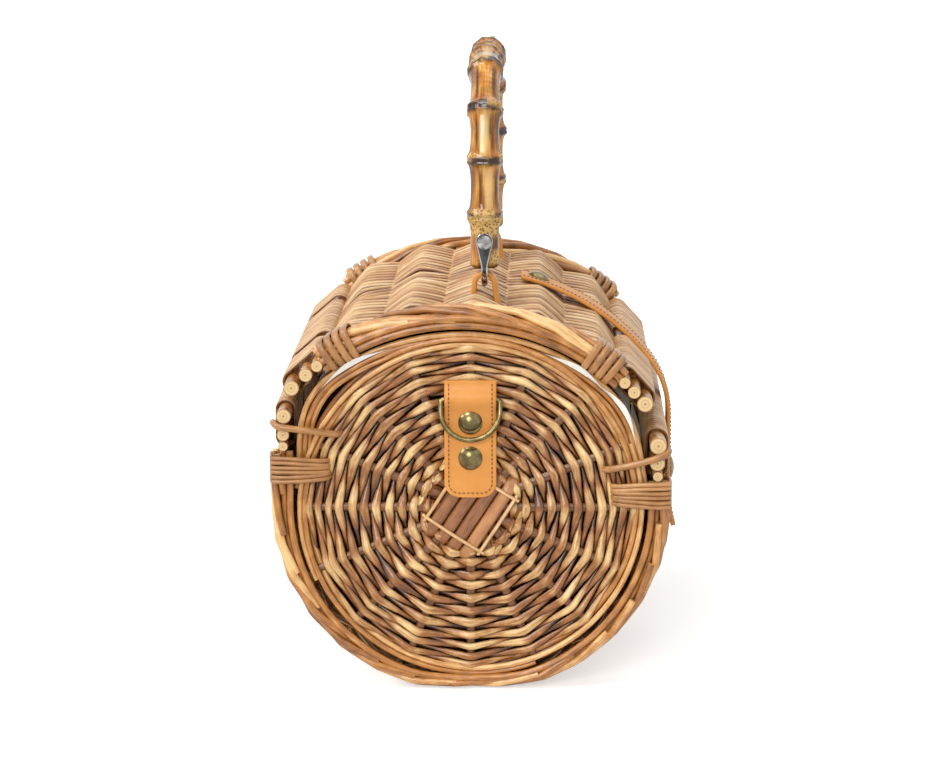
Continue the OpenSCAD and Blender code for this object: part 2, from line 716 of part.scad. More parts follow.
module cotton_lining() {
    depth = wall_depth + max(front_rod_r[0], weave_out) + cane_t + 2 * fit_gap;
    half = panel_y - panel_out - 3;
    color("ivory") difference() {
        upright() linear_extrude(2 * half, center = true) lining_outline(depth);
        upright() linear_extrude(2 * half - 2 * lining_t, center = true) union() {
            lining_outline(depth + lining_t);
            translate([-outer_r, back_rod_z[0] - 12]) square([2 * outer_r, 40]);
        }
    }
}

module hinge_rod() {
    color("peru") rods([hinge_at], [hinge_rod_r]);
}

module back_rim_rods() {
    color("peru") rods([for (z = back_rod_z) [-wall_x, z]], back_rod_r);
}

module back_rim_wraps() {
    free = [[-hinge_y, hinge_loop_w / 2], [hinge_y, hinge_loop_w / 2]];
    color("tan") rim_wraps(hinge_at, [-wall_x, back_rod_z[1]], back_rod_r[1], hinge_rod_r, free);
}

module front_rim_rods() {
    color("peru") rods([for (z = front_rod_z) [wall_x, z]], front_rod_r);
}

module front_rim_wraps() {
    color("tan") rim_wraps([wall_x, front_rod_z[0]], [wall_x, front_rod_z[2]], front_rod_r[2],
                           front_rod_r[0], [[0, -bag_l]]);
}

module snap_stud() {
    plate = wall_x + weave_out + fit_gap;
    inside = wall_x - weave_out - fit_gap;
    color("darkkhaki") at_snap() {
        translate([0, 0, inside - 0.6]) cylinder(h = 0.6, r = 4);
        translate([0, 0, inside - 0.6]) cylinder(h = strap_x - strap_t / 2 - fit_gap - inside + 0.6, r = shank_r);
        translate([0, 0, plate]) cylinder(h = 1.4, r = snap_r - 1);
    }
}

module left_end_panel() {
    color("sandybrown") difference() {
        translate([0, -panel_y, panel_z]) woven_disc();
        tab_bores(shank_r + run_gap);
    }
}

module left_panel_border() {
    color("peru") translate([0, -panel_y, panel_z]) rotate([90, 0, 0])
        rotate_extrude($fn = 120) for (k = [-1, 1], d = [-1, 1])
            translate([panel_r - panel_band / 2 + k * (panel_band / 2 - panel_rod_r), d * 1.5]) circle(panel_rod_r);
}

module left_panel_cross() {
    color("saddlebrown") left_cross_solid();
}

module left_wall_border() {
    color("peru") left_wall_border_solid();
}

module left_end_bindings() {
    color("burlywood") left_end_bindings_solid();
}

module left_ring_tab() {
    color("chocolate") left_tab_solid();
}

module left_tab_rivets() {
    color("darkkhaki") left_rivets_solid();
}

module left_d_ring() {
    color("darkkhaki") left_ring_solid();
}

module right_end_panel() {
    right_end() left_end_panel();
}

module right_panel_border() {
    right_end() left_panel_border();
}

module right_panel_cross() {
    right_end() left_panel_cross();
}

module right_wall_border() {
    right_end() left_wall_border();
}

module right_end_bindings() {
    right_end() left_end_bindings();
}

module right_ring_tab() {
    right_end() left_ring_tab();
}

module right_tab_rivets() {
    right_end() left_tab_rivets();
}

module right_d_ring() {
    right_end() left_d_ring();
}

module lid_panel() {
    from = lid_angle(lid_front_as[2], 1, lid_wraps_run);
    to = lid_angle(lid_back_as[2], -1, lid_wraps_run);
    stakes = round((to - from) / degree * lid_r / stake_pitch);
    color("tan") difference() {
        woven_sheet([for (i = [0 : 2 * stakes]) arc_at(lid_c, lid_r, from + (to - from) * i / (2 * stakes))]);
        handle_slits(-handle_span / 2);
        handle_slits(handle_span / 2);
        on_lid_at(strap_rivet_a) translate([0, 0, lid_r]) cylinder(h = 30, r = shank_r + run_gap, center = true);
    }
}

module lid_left_border() {
    color("peru") left_lid_border_solid();
}

module lid_right_border() {
    right_end() lid_left_border();
}

module lid_back_rods() {
    color("peru") rods([for (a = lid_back_as) on_lid(a, lid_r)], lid_rod_r);
}

module lid_back_wraps() {
    free = [[-hinge_y, hinge_loop_w / 2], [hinge_y, hinge_loop_w / 2]];
    color("tan") rim_wraps(lid_back, on_lid(lid_back_as[2], lid_r), lid_rod_r[2], lid_rod_r[0] + fit_gap, free);
}

module lid_front_rods() {
    color("peru") rods([for (a = lid_front_as) on_lid(a, lid_r)], lid_rod_r);
}

module lid_front_wraps() {
    free = [[0, strap_w / 2]];
    color("tan") rim_wraps(lid_front, on_lid(lid_front_as[2], lid_r), lid_rod_r[2], lid_rod_r[0] + fit_gap, free);
}

module lid_left_bindings() {
    color("burlywood") left_lid_bindings_solid();
}

module lid_right_bindings() {
    right_end() lid_left_bindings();
}

module hinge_loop_left() {
    color("burlywood") hinge_loop(-hinge_y);
}

module hinge_loop_right() {
    color("burlywood") hinge_loop(hinge_y);
}

module left_handle_tab() {
    color("chocolate") handle_tab(-handle_span / 2);
}

module right_handle_tab() {
    color("chocolate") handle_tab(handle_span / 2);
}

module left_shackle() {
    color("silver") translate([handle_x, 0, 0]) shackle(-handle_span / 2);
}

module left_shackle_screw() {
    color("gainsboro") translate([handle_x, 0, 0]) shackle_screw(-handle_span / 2);
}

module right_shackle() {
    color("silver") translate([handle_x, 0, 0]) shackle(handle_span / 2);
}

module right_shackle_screw() {
    color("gainsboro") translate([handle_x, 0, 0]) shackle_screw(handle_span / 2);
}

module bamboo_handle() {
    color("goldenrod") translate([handle_x, 0, 0]) difference() {
        bamboo_sweep();
        for (side = [-1, 1])
            upright(side * handle_span / 2) translate([0, screw_z])
                cylinder(h = 40, r = screw_r + run_gap, center = true);
    }
}

module closing_strap() {
    tip_r = strap_w / 2;
    color("chocolate") difference() {
        upright() linear_extrude(strap_w, center = true) strap_section();
        translate([strap_x, 0, strap_tip_z]) rotate([0, 90, 0]) linear_extrude(20, center = true) difference() {
            translate([-tip_r, -tip_r - 1]) square([tip_r + 1, 2 * tip_r + 2]);
            translate([-tip_r, 0]) circle(tip_r);
        }
        at_snap() translate([0, 0, strap_x]) cylinder(h = 20, r = shank_r + 0.5 + run_gap, center = true);
        on_lid_at(strap_rivet_a) translate([0, 0, strap_mid]) cylinder(h = 20, r = shank_r + run_gap, center = true);
    }
}

module strap_rivet() {
    dome = 2.4;
    dome_r = (rivet_r * rivet_r + dome * dome) / (2 * dome);
    top = strap_mid + strap_t / 2 + 0.1;
    under = lid_r - weave_out - fit_gap;
    color("darkkhaki") on_lid_at(strap_rivet_a) {
        translate([0, 0, top]) intersection() {
            translate([0, 0, dome - dome_r]) sphere(dome_r, $fn = 96);
            cylinder(h = dome + 1, r = rivet_r + 1);
        }
        translate([0, 0, under - 0.9]) cylinder(h = top - under + 1.2, r = shank_r);
        translate([0, 0, under - 0.9]) cylinder(h = 0.9, r = 4.5);
    }
}

// The cap's tube ends short of the strap's inner face, so the stud can leave it
module snap_cap() {
    dome = 2.2;
    dome_r = (snap_r * snap_r + dome * dome) / (2 * dome);
    top = strap_x + strap_t / 2 + 0.1;
    color("darkkhaki") at_snap() {
        translate([0, 0, top]) intersection() {
            translate([0, 0, dome - dome_r]) sphere(dome_r, $fn = 96);
            cylinder(h = dome + 1, r = snap_r + 1);
        }
        translate([0, 0, top - strap_t]) cylinder(h = strap_t + 0.5, r = shank_r + 0.5);
    }
}

basket_wall();
cotton_lining();
hinge_rod();
back_rim_rods();
back_rim_wraps();
front_rim_rods();
front_rim_wraps();
snap_stud();
left_end_panel();
left_panel_border();
left_panel_cross();
left_wall_border();
left_end_bindings();
left_ring_tab();
left_tab_rivets();
left_d_ring();
right_end_panel();
right_panel_border();
right_panel_cross();
right_wall_border();
right_end_bindings();
right_ring_tab();
right_tab_rivets();
right_d_ring();
lid_panel();
lid_left_border();
lid_right_border();
lid_back_rods();
lid_back_wraps();
lid_front_rods();
lid_front_wraps();
lid_left_bindings();
lid_right_bindings();
hinge_loop_left();
hinge_loop_right();
left_handle_tab();
right_handle_tab();
left_shackle();
left_shackle_screw();
right_shackle();
right_shackle_screw();
bamboo_handle();
closing_strap();
strap_rivet();
snap_cap();
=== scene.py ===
"""Looks of the wicker barrel bag: willow, bamboo, leather, brass, steel and cotton round the CAD frame."""
import math

import bpy
import numpy as np
from mathutils import Matrix, Vector


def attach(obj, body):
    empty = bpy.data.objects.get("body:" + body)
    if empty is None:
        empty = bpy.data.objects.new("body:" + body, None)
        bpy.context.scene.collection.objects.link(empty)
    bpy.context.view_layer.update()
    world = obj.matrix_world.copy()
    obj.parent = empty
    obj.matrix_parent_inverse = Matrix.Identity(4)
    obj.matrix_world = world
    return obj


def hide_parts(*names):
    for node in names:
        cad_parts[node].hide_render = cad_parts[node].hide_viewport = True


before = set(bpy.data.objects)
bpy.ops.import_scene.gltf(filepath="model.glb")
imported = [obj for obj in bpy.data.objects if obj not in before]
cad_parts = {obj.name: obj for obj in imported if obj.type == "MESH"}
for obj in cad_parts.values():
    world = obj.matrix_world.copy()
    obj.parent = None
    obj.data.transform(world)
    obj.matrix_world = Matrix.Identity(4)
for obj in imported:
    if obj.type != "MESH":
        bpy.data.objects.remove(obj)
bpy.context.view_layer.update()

MM = 0.001
TURN = 2 * math.pi
rng = np.random.default_rng(41)

# Sizes of the bag in millimetres, as in the part's source. X runs from the hinge side to the strap side,
# Y along the barrel from the left end to the right end
OUTER_R = 95.0
CORNER_R = 40.0
FLAT_X = 20.5
WALL_X = 90.0
WALL_DEPTH = 5.0
SIDE_Z = CORNER_R + math.sqrt((OUTER_R - CORNER_R) ** 2 - FLAT_X ** 2)
CORNER_A = math.atan2(FLAT_X, SIDE_Z - CORNER_R)
END_Y = 124.0
BORDER_Y = 116.4
BORDER_BACK_Z, BORDER_FRONT_Z = 117.7, 103.2
WALL_BACK_Z, WALL_FRONT_Z = 116.1, 101.6
HINGE = (-WALL_X, 135.0)
HINGE_ROD_R = 3.7
HINGE_LOOP_Y = 59.0
HINGE_LOOP_R = 4.75
HINGE_WRAP_R = 4.65
RIM_WRAP_R = 5.25
BACK_RODS = [(126.1, 3.0), (120.4, 2.4)]
FRONT_RODS = [(121.0, 4.3), (112.7, 3.7), (106.1, 2.6)]

LID_C = np.array([-4.48, 69.006])
LID_R = 114.0
LID_BORDER_R = 114.73
LID_INNER_R = 107.77
LID_BACK_A = math.radians(135.507)
LID_FRONT_A = math.radians(39.488)
LID_ROD_R = [4.0, 3.3, 3.0]
LID_BACK_AS = [LID_BACK_A, LID_BACK_A - 9.5 / LID_R, LID_BACK_A - 16.1 / LID_R]
LID_FRONT_AS = [LID_FRONT_A, LID_FRONT_A + 7.6 / LID_R, LID_FRONT_A + 14.2 / LID_R]
LID_TIE_OFF = 13.6
LID_TIE_PITCH = 4.2

PANEL_Y = 119.0
PANEL_Z = 89.9
PANEL_R = 84.6
PANEL_TOP_R = 86.8
SPOKES = 16
SPOKE_LIFT = 2.45
FIRST_ROUND_R = 21.2
ROUND_PITCH = 3.05
CLOSE_PITCH = 2.3
STICK_A = math.radians(57)
STICK_HALF = 22.5
STICK_PITCH = 6.9
STICK_LIFT = 2.6

TAB_Y = 123.3
TAB_HALF = 12.5
TAB_LOW_Z = 96.0
TAB_ROUND = 7.0
BAR_Z = 144.0
STITCH_IN = 2.1

HANDLE_X = 6.0
HANDLE_HALF = 75.0
HANDLE_TOP = 296.706
BEND = 40.0
FOOT_Z = 200.706
NODES = 11
BOW_Z = 192.706
SCREW_Z = 214.406
SHACKLE_R = 10.4
EYE_R = 4.2
WIRE_R = 1.55
PLATE_HALF = 0.82
LOOP_R = 5.03

STRAP_X = 99.35
STRAP_R = 120.0
STRAP_BEND = 50.0
STRAP_HALF = 11.0
STRAP_T = 1.15
STRAP_TIP_Z = 65.0

# Weave: rows along the barrel, stakes across it, the roundness of a fold and the room for the closing strap
ROWS = 46
WEAVE_Y = 106.9
ROW_EDGES = np.linspace(-WEAVE_Y, WEAVE_Y, ROWS + 1)
ROW_Y = (ROW_EDGES[1:] + ROW_EDGES[:-1]) / 2
WALL_STAKES = 11
LID_STAKES = 5
FOLD = 0.993
STRAP_ROOM = 17.0
STRIP_SIDES = 8
WALL_RISE = 3.5
LID_RISE = 5.2
UNDER_STRAP = 0.67


# Paths

def points(x, y, z):
    """Coordinates brought to one shape and put together as points or as directions."""
    return np.stack(np.broadcast_arrays(x, y, z), -1)


def radial(a):
    """Outward directions in the XZ plane at the angles a: the cosine along X and the sine along Z."""
    return points(np.cos(a), 0.0, np.sin(a))


def facing(side):
    """Outward direction of the left end, side -1, or of the right end, side 1."""
    return np.array([0, side, 0.0])


def unit(v):
    """Vectors brought to length 1."""
    return v / np.maximum(np.linalg.norm(v, axis=-1, keepdims=True), 1e-9)


def rounded(a, power):
    """Cosine and sine of a turn, each to a power with its sign kept: 1 gives a circle and less a rounded
    box."""
    c, s = np.cos(a), np.sin(a)
    return np.sign(c) * np.abs(c) ** power, np.sign(s) * np.abs(s) ** power


def half_outline(s, rim_z):
    """Outer outline of the basket from a rim at x < 0 down to the middle of the flat, by run s: a straight
    side, the arc of the side, the corner arc and half of the flat. Gives x, z and the outward direction."""
    s1 = s - (rim_z - SIDE_Z)
    s2 = s1 - (math.pi / 2 - CORNER_A) * OUTER_R
    s3 = s2 - CORNER_A * CORNER_R
    a1 = math.pi + s1 / OUTER_R
    a2 = 1.5 * math.pi - CORNER_A + s2 / CORNER_R
    where = [s1 < 0, s2 < 0, s3 < 0]
    x = np.select(where, [-OUTER_R + 0 * s, OUTER_R * np.cos(a1), CORNER_R * np.cos(a2) - FLAT_X],
                  s3 - FLAT_X)
    z = np.select(where, [rim_z - s, SIDE_Z + OUTER_R * np.sin(a1), CORNER_R + CORNER_R * np.sin(a2)], 0 * s)
    nx = np.select(where, [-1 + 0 * s, np.cos(a1), np.cos(a2)], 0 * s)
    nz = np.select(where, [0 * s, np.sin(a1), np.sin(a2)], -1 + 0 * s)
    return x, z, nx, nz


def half_run(rim_z):
    """Length of half_outline from the rim to the middle of the flat."""
    return rim_z - SIDE_Z + (math.pi / 2 - CORNER_A) * OUTER_R + CORNER_A * CORNER_R + FLAT_X


def outline(t, back_z, front_z, depth):
    """Path round the basket at a depth under its outline, t from 0 at the back rim to 1 at the front rim:
    the two halves of the outline put together, each point moved inwards along its normal."""
    back, front = half_run(back_z), half_run(front_z)
    s = t * (back + front)
    one = half_outline(np.minimum(s, back), back_z)
    two = half_outline(np.minimum(back + front - s, front), front_z)
    mirror = (-1, 1, -1, 1)
    x, z, nx, nz = (np.where(s <= back, p, way * q) for p, q, way in zip(one, two, mirror))
    return x - nx * depth, z - nz * depth, nx, nz


def lid_arc(t, r):
    """Arc of the lid at radius r about its centre, t from 0 at the back edge rod to 1 at the front edge
    rod."""
    a = LID_BACK_A + (LID_FRONT_A - LID_BACK_A) * t
    return LID_C[0] + r * np.cos(a), LID_C[1] + r * np.sin(a), np.cos(a), np.sin(a)


def on_lid(a):
    """A point of the lid's section at an angle: the circle about the lid's centre."""
    return (LID_C[0] + LID_R * math.cos(a), LID_C[1] + LID_R * math.sin(a))


def round_panel(r, a, y):
    """Points round the middle of the end panels, by radius, angle and place along the barrel."""
    return points(r * np.cos(a), y, PANEL_Z + r * np.sin(a))


def smooth_path(knots, count):
    """A smooth line through a few points: each span is a cubic whose slope at a point is half the step
    between its neighbours. Gives count points at even parameters."""
    p = np.asarray(knots, float)
    m = np.gradient(p, axis=0)
    u = np.linspace(0, len(p) - 1, count)
    i = np.minimum(u.astype(int), len(p) - 2)
    f = (u - i)[:, None]
    h1 = 2 * f ** 3 - 3 * f ** 2 + 1
    return h1 * p[i] + (1 - h1) * p[i + 1] + (f ** 3 - 2 * f ** 2 + f) * m[i] + (f ** 3 - f ** 2) * m[i + 1]


def between(lines, place):
    """Points of several lines at fractions of their index: a straight mix of the two points beside each
    place."""
    low = np.minimum(place.astype(int), lines.shape[1] - 2)
    f = (place - low)[..., None]
    row = np.arange(len(lines))[:, None]
    return lines[row, low] * (1 - f) + lines[row, low + 1] * f


# Meshes

def strands(path, normal, half_w, half_t, sides=STRIP_SIDES, closed=False, tone=None, square=1.0):
    """Rods or strips carried along many paths at once. At each point of a path the section is a rounded
    shape: the cosine of the turn times half_w across the strip and its sine times half_t along the normal,
    both to the power square, 1 for an ellipse and less for a flatter strip. An open strand gets two flat
    end faces, marked as cut. path is (strands, points, 3); normal spreads to its shape, half_w and half_t
    to (strands, points)."""
    path = np.asarray(path, float)
    r, n, _ = path.shape
    normal = np.broadcast_to(np.asarray(normal, float), path.shape)
    half_w = np.broadcast_to(half_w, (r, n))
    half_t = np.broadcast_to(half_t, (r, n))
    if closed:
        along = np.roll(path, -1, 1) - np.roll(path, 1, 1)
    else:
        along = np.gradient(path, axis=1)
    along = unit(along)
    across = unit(np.cross(normal, along))
    out = np.cross(along, across)
    turn = (np.arange(sides) + 0.5) * TURN / sides - math.pi / 2
    c, s = rounded(turn, square)
    ring = (path[:, :, None] + c[:, None] * (half_w[..., None, None] * across[:, :, None])
            + s[:, None] * (half_t[..., None, None] * out[:, :, None]))
    step = np.linalg.norm(np.diff(path, axis=1), axis=-1)
    run = np.concatenate([np.zeros((r, 1)), np.cumsum(step, 1)], 1)
    tone = rng.random(r) if tone is None else np.broadcast_to(tone, (r,))
    apart = np.arange(r)[:, None, None] * 0.37
    along_uv = run[:, :, None] * MM + apart
    round_uv = turn / TURN + 0.25 + 0 * ring[..., 0]
    uv = np.stack(np.broadcast_arrays(along_uv, round_uv), -1)
    at = np.arange(r * n * sides).reshape(r, n, sides)
    nxt = np.roll(at, -1, 2)
    if closed:
        a, b = at, np.roll(at, -1, 1)
        an, bn = nxt, np.roll(nxt, -1, 1)
    else:
        a, b, an, bn = at[:, :-1], at[:, 1:], nxt[:, :-1], nxt[:, 1:]
    quads = np.stack([a, an, bn, b], -1).reshape(-1, 4)
    co = ring.reshape(-1, 3)
    group = {"co": co, "quads": quads, "tris": np.zeros((0, 3), int), "uv": uv.reshape(-1, 2),
             "tone": np.repeat(tone, n * sides), "cut": np.zeros(len(co)), "ring": np.ones(len(co))}
    if closed:
        return group
    caps = np.concatenate([ring[:, [0, -1]], path[:, [0, -1]][:, :, None]], 2)
    base = len(co) + np.arange(r * 2).reshape(r, 2, 1) * (sides + 1)
    k = base + np.arange(sides)
    kn = base + np.roll(np.arange(sides), -1)
    hub = np.broadcast_to(base + sides, k.shape)
    first = np.stack([hub[:, 0], kn[:, 0], k[:, 0]], -1).reshape(-1, 3)
    last = np.stack([hub[:, 1], k[:, 1], kn[:, 1]], -1).reshape(-1, 3)
    size = r * 2 * (sides + 1)
    group["tris"] = np.concatenate([first, last])
    spare = {"co": caps.reshape(-1, 3), "uv": np.zeros((size, 2)), "tone": np.repeat(tone, 2 * (sides + 1)),
             "cut": np.ones(size), "ring": np.tile(np.append(np.ones(sides), 0.0), r * 2)}
    for key, value in spare.items():
        group[key] = np.concatenate([group[key], value])
    return group


def piece(name, groups, material, body, replaces=()):
    """One object from groups of strands, in metres, with its UV map and the attributes tone, cut and ring."""
    starts = np.cumsum([0] + [len(g["co"]) for g in groups])
    co = np.concatenate([g["co"] for g in groups]) * MM
    quads = np.concatenate([g["quads"] + k for g, k in zip(groups, starts)])
    tris = np.concatenate([g["tris"] + k for g, k in zip(groups, starts)])
    loops = np.concatenate([quads.ravel(), tris.ravel()]).astype(np.int32)
    sizes = np.concatenate([np.full(len(quads), 4), np.full(len(tris), 3)])
    mesh = bpy.data.meshes.new(name)
    mesh.vertices.add(len(co))
    mesh.vertices.foreach_set("co", co.astype(np.float32).ravel())
    mesh.loops.add(len(loops))
    mesh.loops.foreach_set("vertex_index", loops)
    mesh.polygons.add(len(sizes))
    mesh.polygons.foreach_set("loop_start", np.concatenate([[0], np.cumsum(sizes)[:-1]]).astype(np.int32))
    mesh.polygons.foreach_set("use_smooth", sizes == 4)
    mesh.update(calc_edges=True)
    uv = np.concatenate([g["uv"] for g in groups])
    mesh.uv_layers.new(name="UVMap").data.foreach_set("uv", uv[loops].astype(np.float32).ravel())
    for key in ("tone", "cut", "ring"):
        values = np.concatenate([g[key] for g in groups]).astype(np.float32)
        mesh.attributes.new(key, "FLOAT", "POINT").data.foreach_set("value", values)
    mesh.materials.append(material)
    obj = bpy.data.objects.new(name, mesh)
    bpy.context.scene.collection.objects.link(obj)
    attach(obj, body)
    if replaces:
        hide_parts(*replaces)
    return obj


# Materials

def new_material(name):
    """An empty node material with its node tree and its Principled BSDF."""
    m = bpy.data.materials.new(name)
    m.use_nodes = True
    return m, m.node_tree, m.node_tree.nodes["Principled BSDF"]


def connect(tree, value, place):
    """Gives an input its value: a socket is linked, a linear colour or a number becomes its default."""
    if isinstance(value, bpy.types.NodeSocket):
        tree.links.new(value, place)
    elif isinstance(value, tuple):
        place.default_value = (*value, 1)
    else:
        place.default_value = value


def fill(tree, node, values):
    """Sets a node's inputs by their names. A name that is no input is a plain property."""
    for key, value in values.items():
        if key in node.inputs:
            connect(tree, value, node.inputs[key])
        else:
            setattr(node, key, value)


def add(tree, kind, **values):
    """A node of a kind with its inputs and plain properties set. Gives its outputs."""
    node = tree.nodes.new(kind)
    fill(tree, node, values)
    return node.outputs


def calc(tree, kind, *values, clamp=False):
    """One step of arithmetic on sockets or numbers. Gives the result."""
    node = tree.nodes.new("ShaderNodeMath")
    node.operation = kind
    node.use_clamp = clamp
    for place, value in zip(node.inputs, values):
        connect(tree, value, place)
    return node.outputs[0]


def mixed(tree, factor, low, high):
    """A mix of two colours by a factor. low and high are sockets or linear colours. Gives the mixed
    colour."""
    node = tree.nodes.new("ShaderNodeMix")
    node.data_type = "RGBA"
    for place, value in ((0, factor), (6, low), (7, high)):
        connect(tree, value, node.inputs[place])
    return node.outputs[2]


def ramp(tree, factor, stops):
    """A colour picked by a factor from stops of (place, linear colour or grey). Gives the colour."""
    node = tree.nodes.new("ShaderNodeValToRGB")
    e = node.color_ramp.elements
    while len(e) < len(stops):
        e.new(0.5)
    for one, (place, colour) in zip(e, stops):
        one.position = place
        one.color = (*np.broadcast_to(colour, 3), 1)
    tree.links.new(factor, node.inputs["Fac"])
    return node.outputs["Color"]


def bump(tree, height, strength, distance):
    """A normal bent by a height, in metres."""
    return add(tree, "ShaderNodeBump", Strength=strength, Distance=distance, Height=height)["Normal"]


def own_value(tree, name):
    """A value that the mesh itself holds, by the name of its attribute."""
    return add(tree, "ShaderNodeAttribute", attribute_name=name)["Fac"]


def own_uv(tree):
    """The piece's own UV map: U along a strand in metres, V once round its section."""
    return add(tree, "ShaderNodeUVMap", uv_map="UVMap")["UV"]


def own_place(tree):
    """The place on the piece in metres."""
    return add(tree, "ShaderNodeTexCoord")["Object"]


def grain_group():
    """Fibres of willow and bamboo: noise drawn out along U, the run of a rod, and tight across V. Gives a
    tone that changes over the surface and a height for bumps."""
    g = bpy.data.node_groups.new("wood_fibres", "ShaderNodeTree")
    for name, way in (("Along", "INPUT"), ("Across", "INPUT"), ("Tone", "OUTPUT"), ("Height", "OUTPUT")):
        g.interface.new_socket(name, in_out=way, socket_type="NodeSocketFloat")
    given = add(g, "NodeGroupInput")
    uv = add(g, "ShaderNodeSeparateXYZ", Vector=own_uv(g))
    at = add(g, "ShaderNodeCombineXYZ", X=calc(g, "MULTIPLY", uv["X"], given["Along"]),
             Y=calc(g, "MULTIPLY", uv["Y"], given["Across"]))["Vector"]
    fine = add(g, "ShaderNodeTexNoise", Scale=1.0, Detail=4.0, Roughness=0.6, Vector=at)["Fac"]
    blotch = add(g, "ShaderNodeTexNoise", Scale=140.0, Detail=2.0, Vector=own_place(g))["Fac"]
    add(g, "NodeGroupOutput", Tone=calc(g, "MULTIPLY_ADD", blotch, 0.6, fine), Height=fine)
    return g


FIBRES = grain_group()
GROWTH_RINGS = [(0.0, (0.17, 0.07, 0.02)), (0.12, (0.55, 0.33, 0.12)), (0.3, (0.78, 0.56, 0.27)),
                (0.5, (0.62, 0.40, 0.16)), (0.7, (0.80, 0.58, 0.29)), (0.88, (0.66, 0.42, 0.17)),
                (1.0, (0.24, 0.10, 0.03))]


def willow(name, dark, mid, pale, roughness, coat, lines=0.0):
    """Varnished willow: the strand's tone plus the fibres pick the colour, and cut ends show pale growth
    rings round a dark pith. The tone is random from strand to strand, with painted highlight and painted
    shade added to it in some pieces. lines is painted shade along the two edges of a strip, where it meets
    its neighbour: it darkens where the sine of its V is near one."""
    m, t, p = new_material(name)
    fibres = add(t, "ShaderNodeGroup", node_tree=FIBRES, Along=90.0, Across=9.0)
    amount = calc(t, "MULTIPLY_ADD", own_value(t, "tone"), 0.55, fibres["Tone"])
    colour = ramp(t, calc(t, "SUBTRACT", amount, 0.57), [(0.0, dark), (0.48, mid), (0.95, pale)])
    # Painted shade: the two edges of a strip, where it meets its neighbour, are darkened
    v = add(t, "ShaderNodeSeparateXYZ", Vector=own_uv(t))["Y"]
    edge = calc(t, "ABSOLUTE", calc(t, "SINE", calc(t, "MULTIPLY", v, TURN)))
    edge = calc(t, "MULTIPLY", calc(t, "POWER", edge, 3), lines)
    colour_with_painted_edge_shade = mixed(t, edge, colour, tuple(0.5 * c for c in dark))
    rings = ramp(t, own_value(t, "ring"), GROWTH_RINGS)
    fill(t, p, {
        "Base Color": mixed(t, own_value(t, "cut"), colour_with_painted_edge_shade, rings),
        "Roughness": ramp(t, fibres["Height"], [(0.25, roughness - 0.1), (0.8, roughness + 0.16)]),
        "Normal": bump(t, fibres["Height"], 0.35, 0.0004),
        "Coat Weight": coat,
        "Coat Roughness": 0.25,
    })
    return m


def bamboo_material():
    """Scorched bamboo: glossy golden cane with brown clouds, dark rings at the nodes, rough pale patches
    with dark pits, painted shade as dark lines beside each groove and along both sides of the cane, and a
    painted highlight as a pale stripe in the groove. The attribute tone holds the closeness to a node, ring
    the rough patches and cut the painted shade lines, or the painted highlight where it is below zero."""
    m, t, p = new_material("bamboo_scorched")
    fibres = add(t, "ShaderNodeGroup", node_tree=FIBRES, Along=55.0, Across=30.0)
    cane = ramp(t, fibres["Tone"], [(0.45, (0.10, 0.024, 0.003)), (0.66, (0.45, 0.135, 0.010)),
                                    (0.88, (0.72, 0.30, 0.030)), (1.0, (0.88, 0.53, 0.13))])
    place = own_place(t)
    cloud = add(t, "ShaderNodeTexNoise", Scale=70.0, Detail=3.0, Roughness=0.55, Vector=place)["Fac"]
    line = own_value(t, "cut")
    # Painted shade: the cut attribute darkens lines beside the groove and along the cane's sides
    dark = calc(t, "MAXIMUM", ramp(t, cloud, [(0.47, 0), (0.68, 0.8)]), line)
    dark = calc(t, "MAXIMUM", dark, own_value(t, "tone"))
    scorch_and_painted_light = mixed(t, dark, cane, (0.03, 0.009, 0.003))
    # Painted highlight: where cut is below zero, a pale stripe
    scorch_and_painted_light = mixed(t, calc(t, "MULTIPLY", line, -1.0, clamp=True), scorch_and_painted_light, (0.86, 0.63, 0.26))
    pits = add(t, "ShaderNodeTexVoronoi", Scale=720.0, Vector=place)["Distance"]
    cork = ramp(t, pits, [(0.18, (0.13, 0.045, 0.010)), (0.36, (0.56, 0.31, 0.08)),
                          (0.7, (0.74, 0.49, 0.17))])
    patch = own_value(t, "ring")
    height = calc(t, "MULTIPLY_ADD", fibres["Height"], 0.25, calc(t, "MULTIPLY", pits, patch))
    fill(t, p, {
        "Base Color": mixed(t, patch, scorch_and_painted_light, cork),
        "Roughness": mixed(t, patch, (0.12, 0.12, 0.12), (0.6, 0.6, 0.6)),
        "Normal": bump(t, height, 0.5, 0.0006),
        "Coat Weight": 0.3,
        "Coat Roughness": 0.08,
        "Specular IOR Level": 0.35,
    })
    return m


def leather_material(name, low, high):
    """Smooth tanned leather, or waxed thread: a soft cloud of two tones, and fine pores in the gloss and
    the bump."""
    m, t, p = new_material(name)
    place = own_place(t)
    cloud = add(t, "ShaderNodeTexNoise", Scale=60.0, Detail=3.0, Vector=place)["Fac"]
    pores = add(t, "ShaderNodeTexVoronoi", Scale=1500.0, Vector=place)["Distance"]
    fill(t, p, {
        "Base Color": ramp(t, cloud, [(0.3, low), (0.7, high)]),
        "Roughness": ramp(t, pores, [(0.0, 0.55), (0.6, 0.40)]),
        "Normal": bump(t, pores, 0.12, 0.0003),
    })
    return m


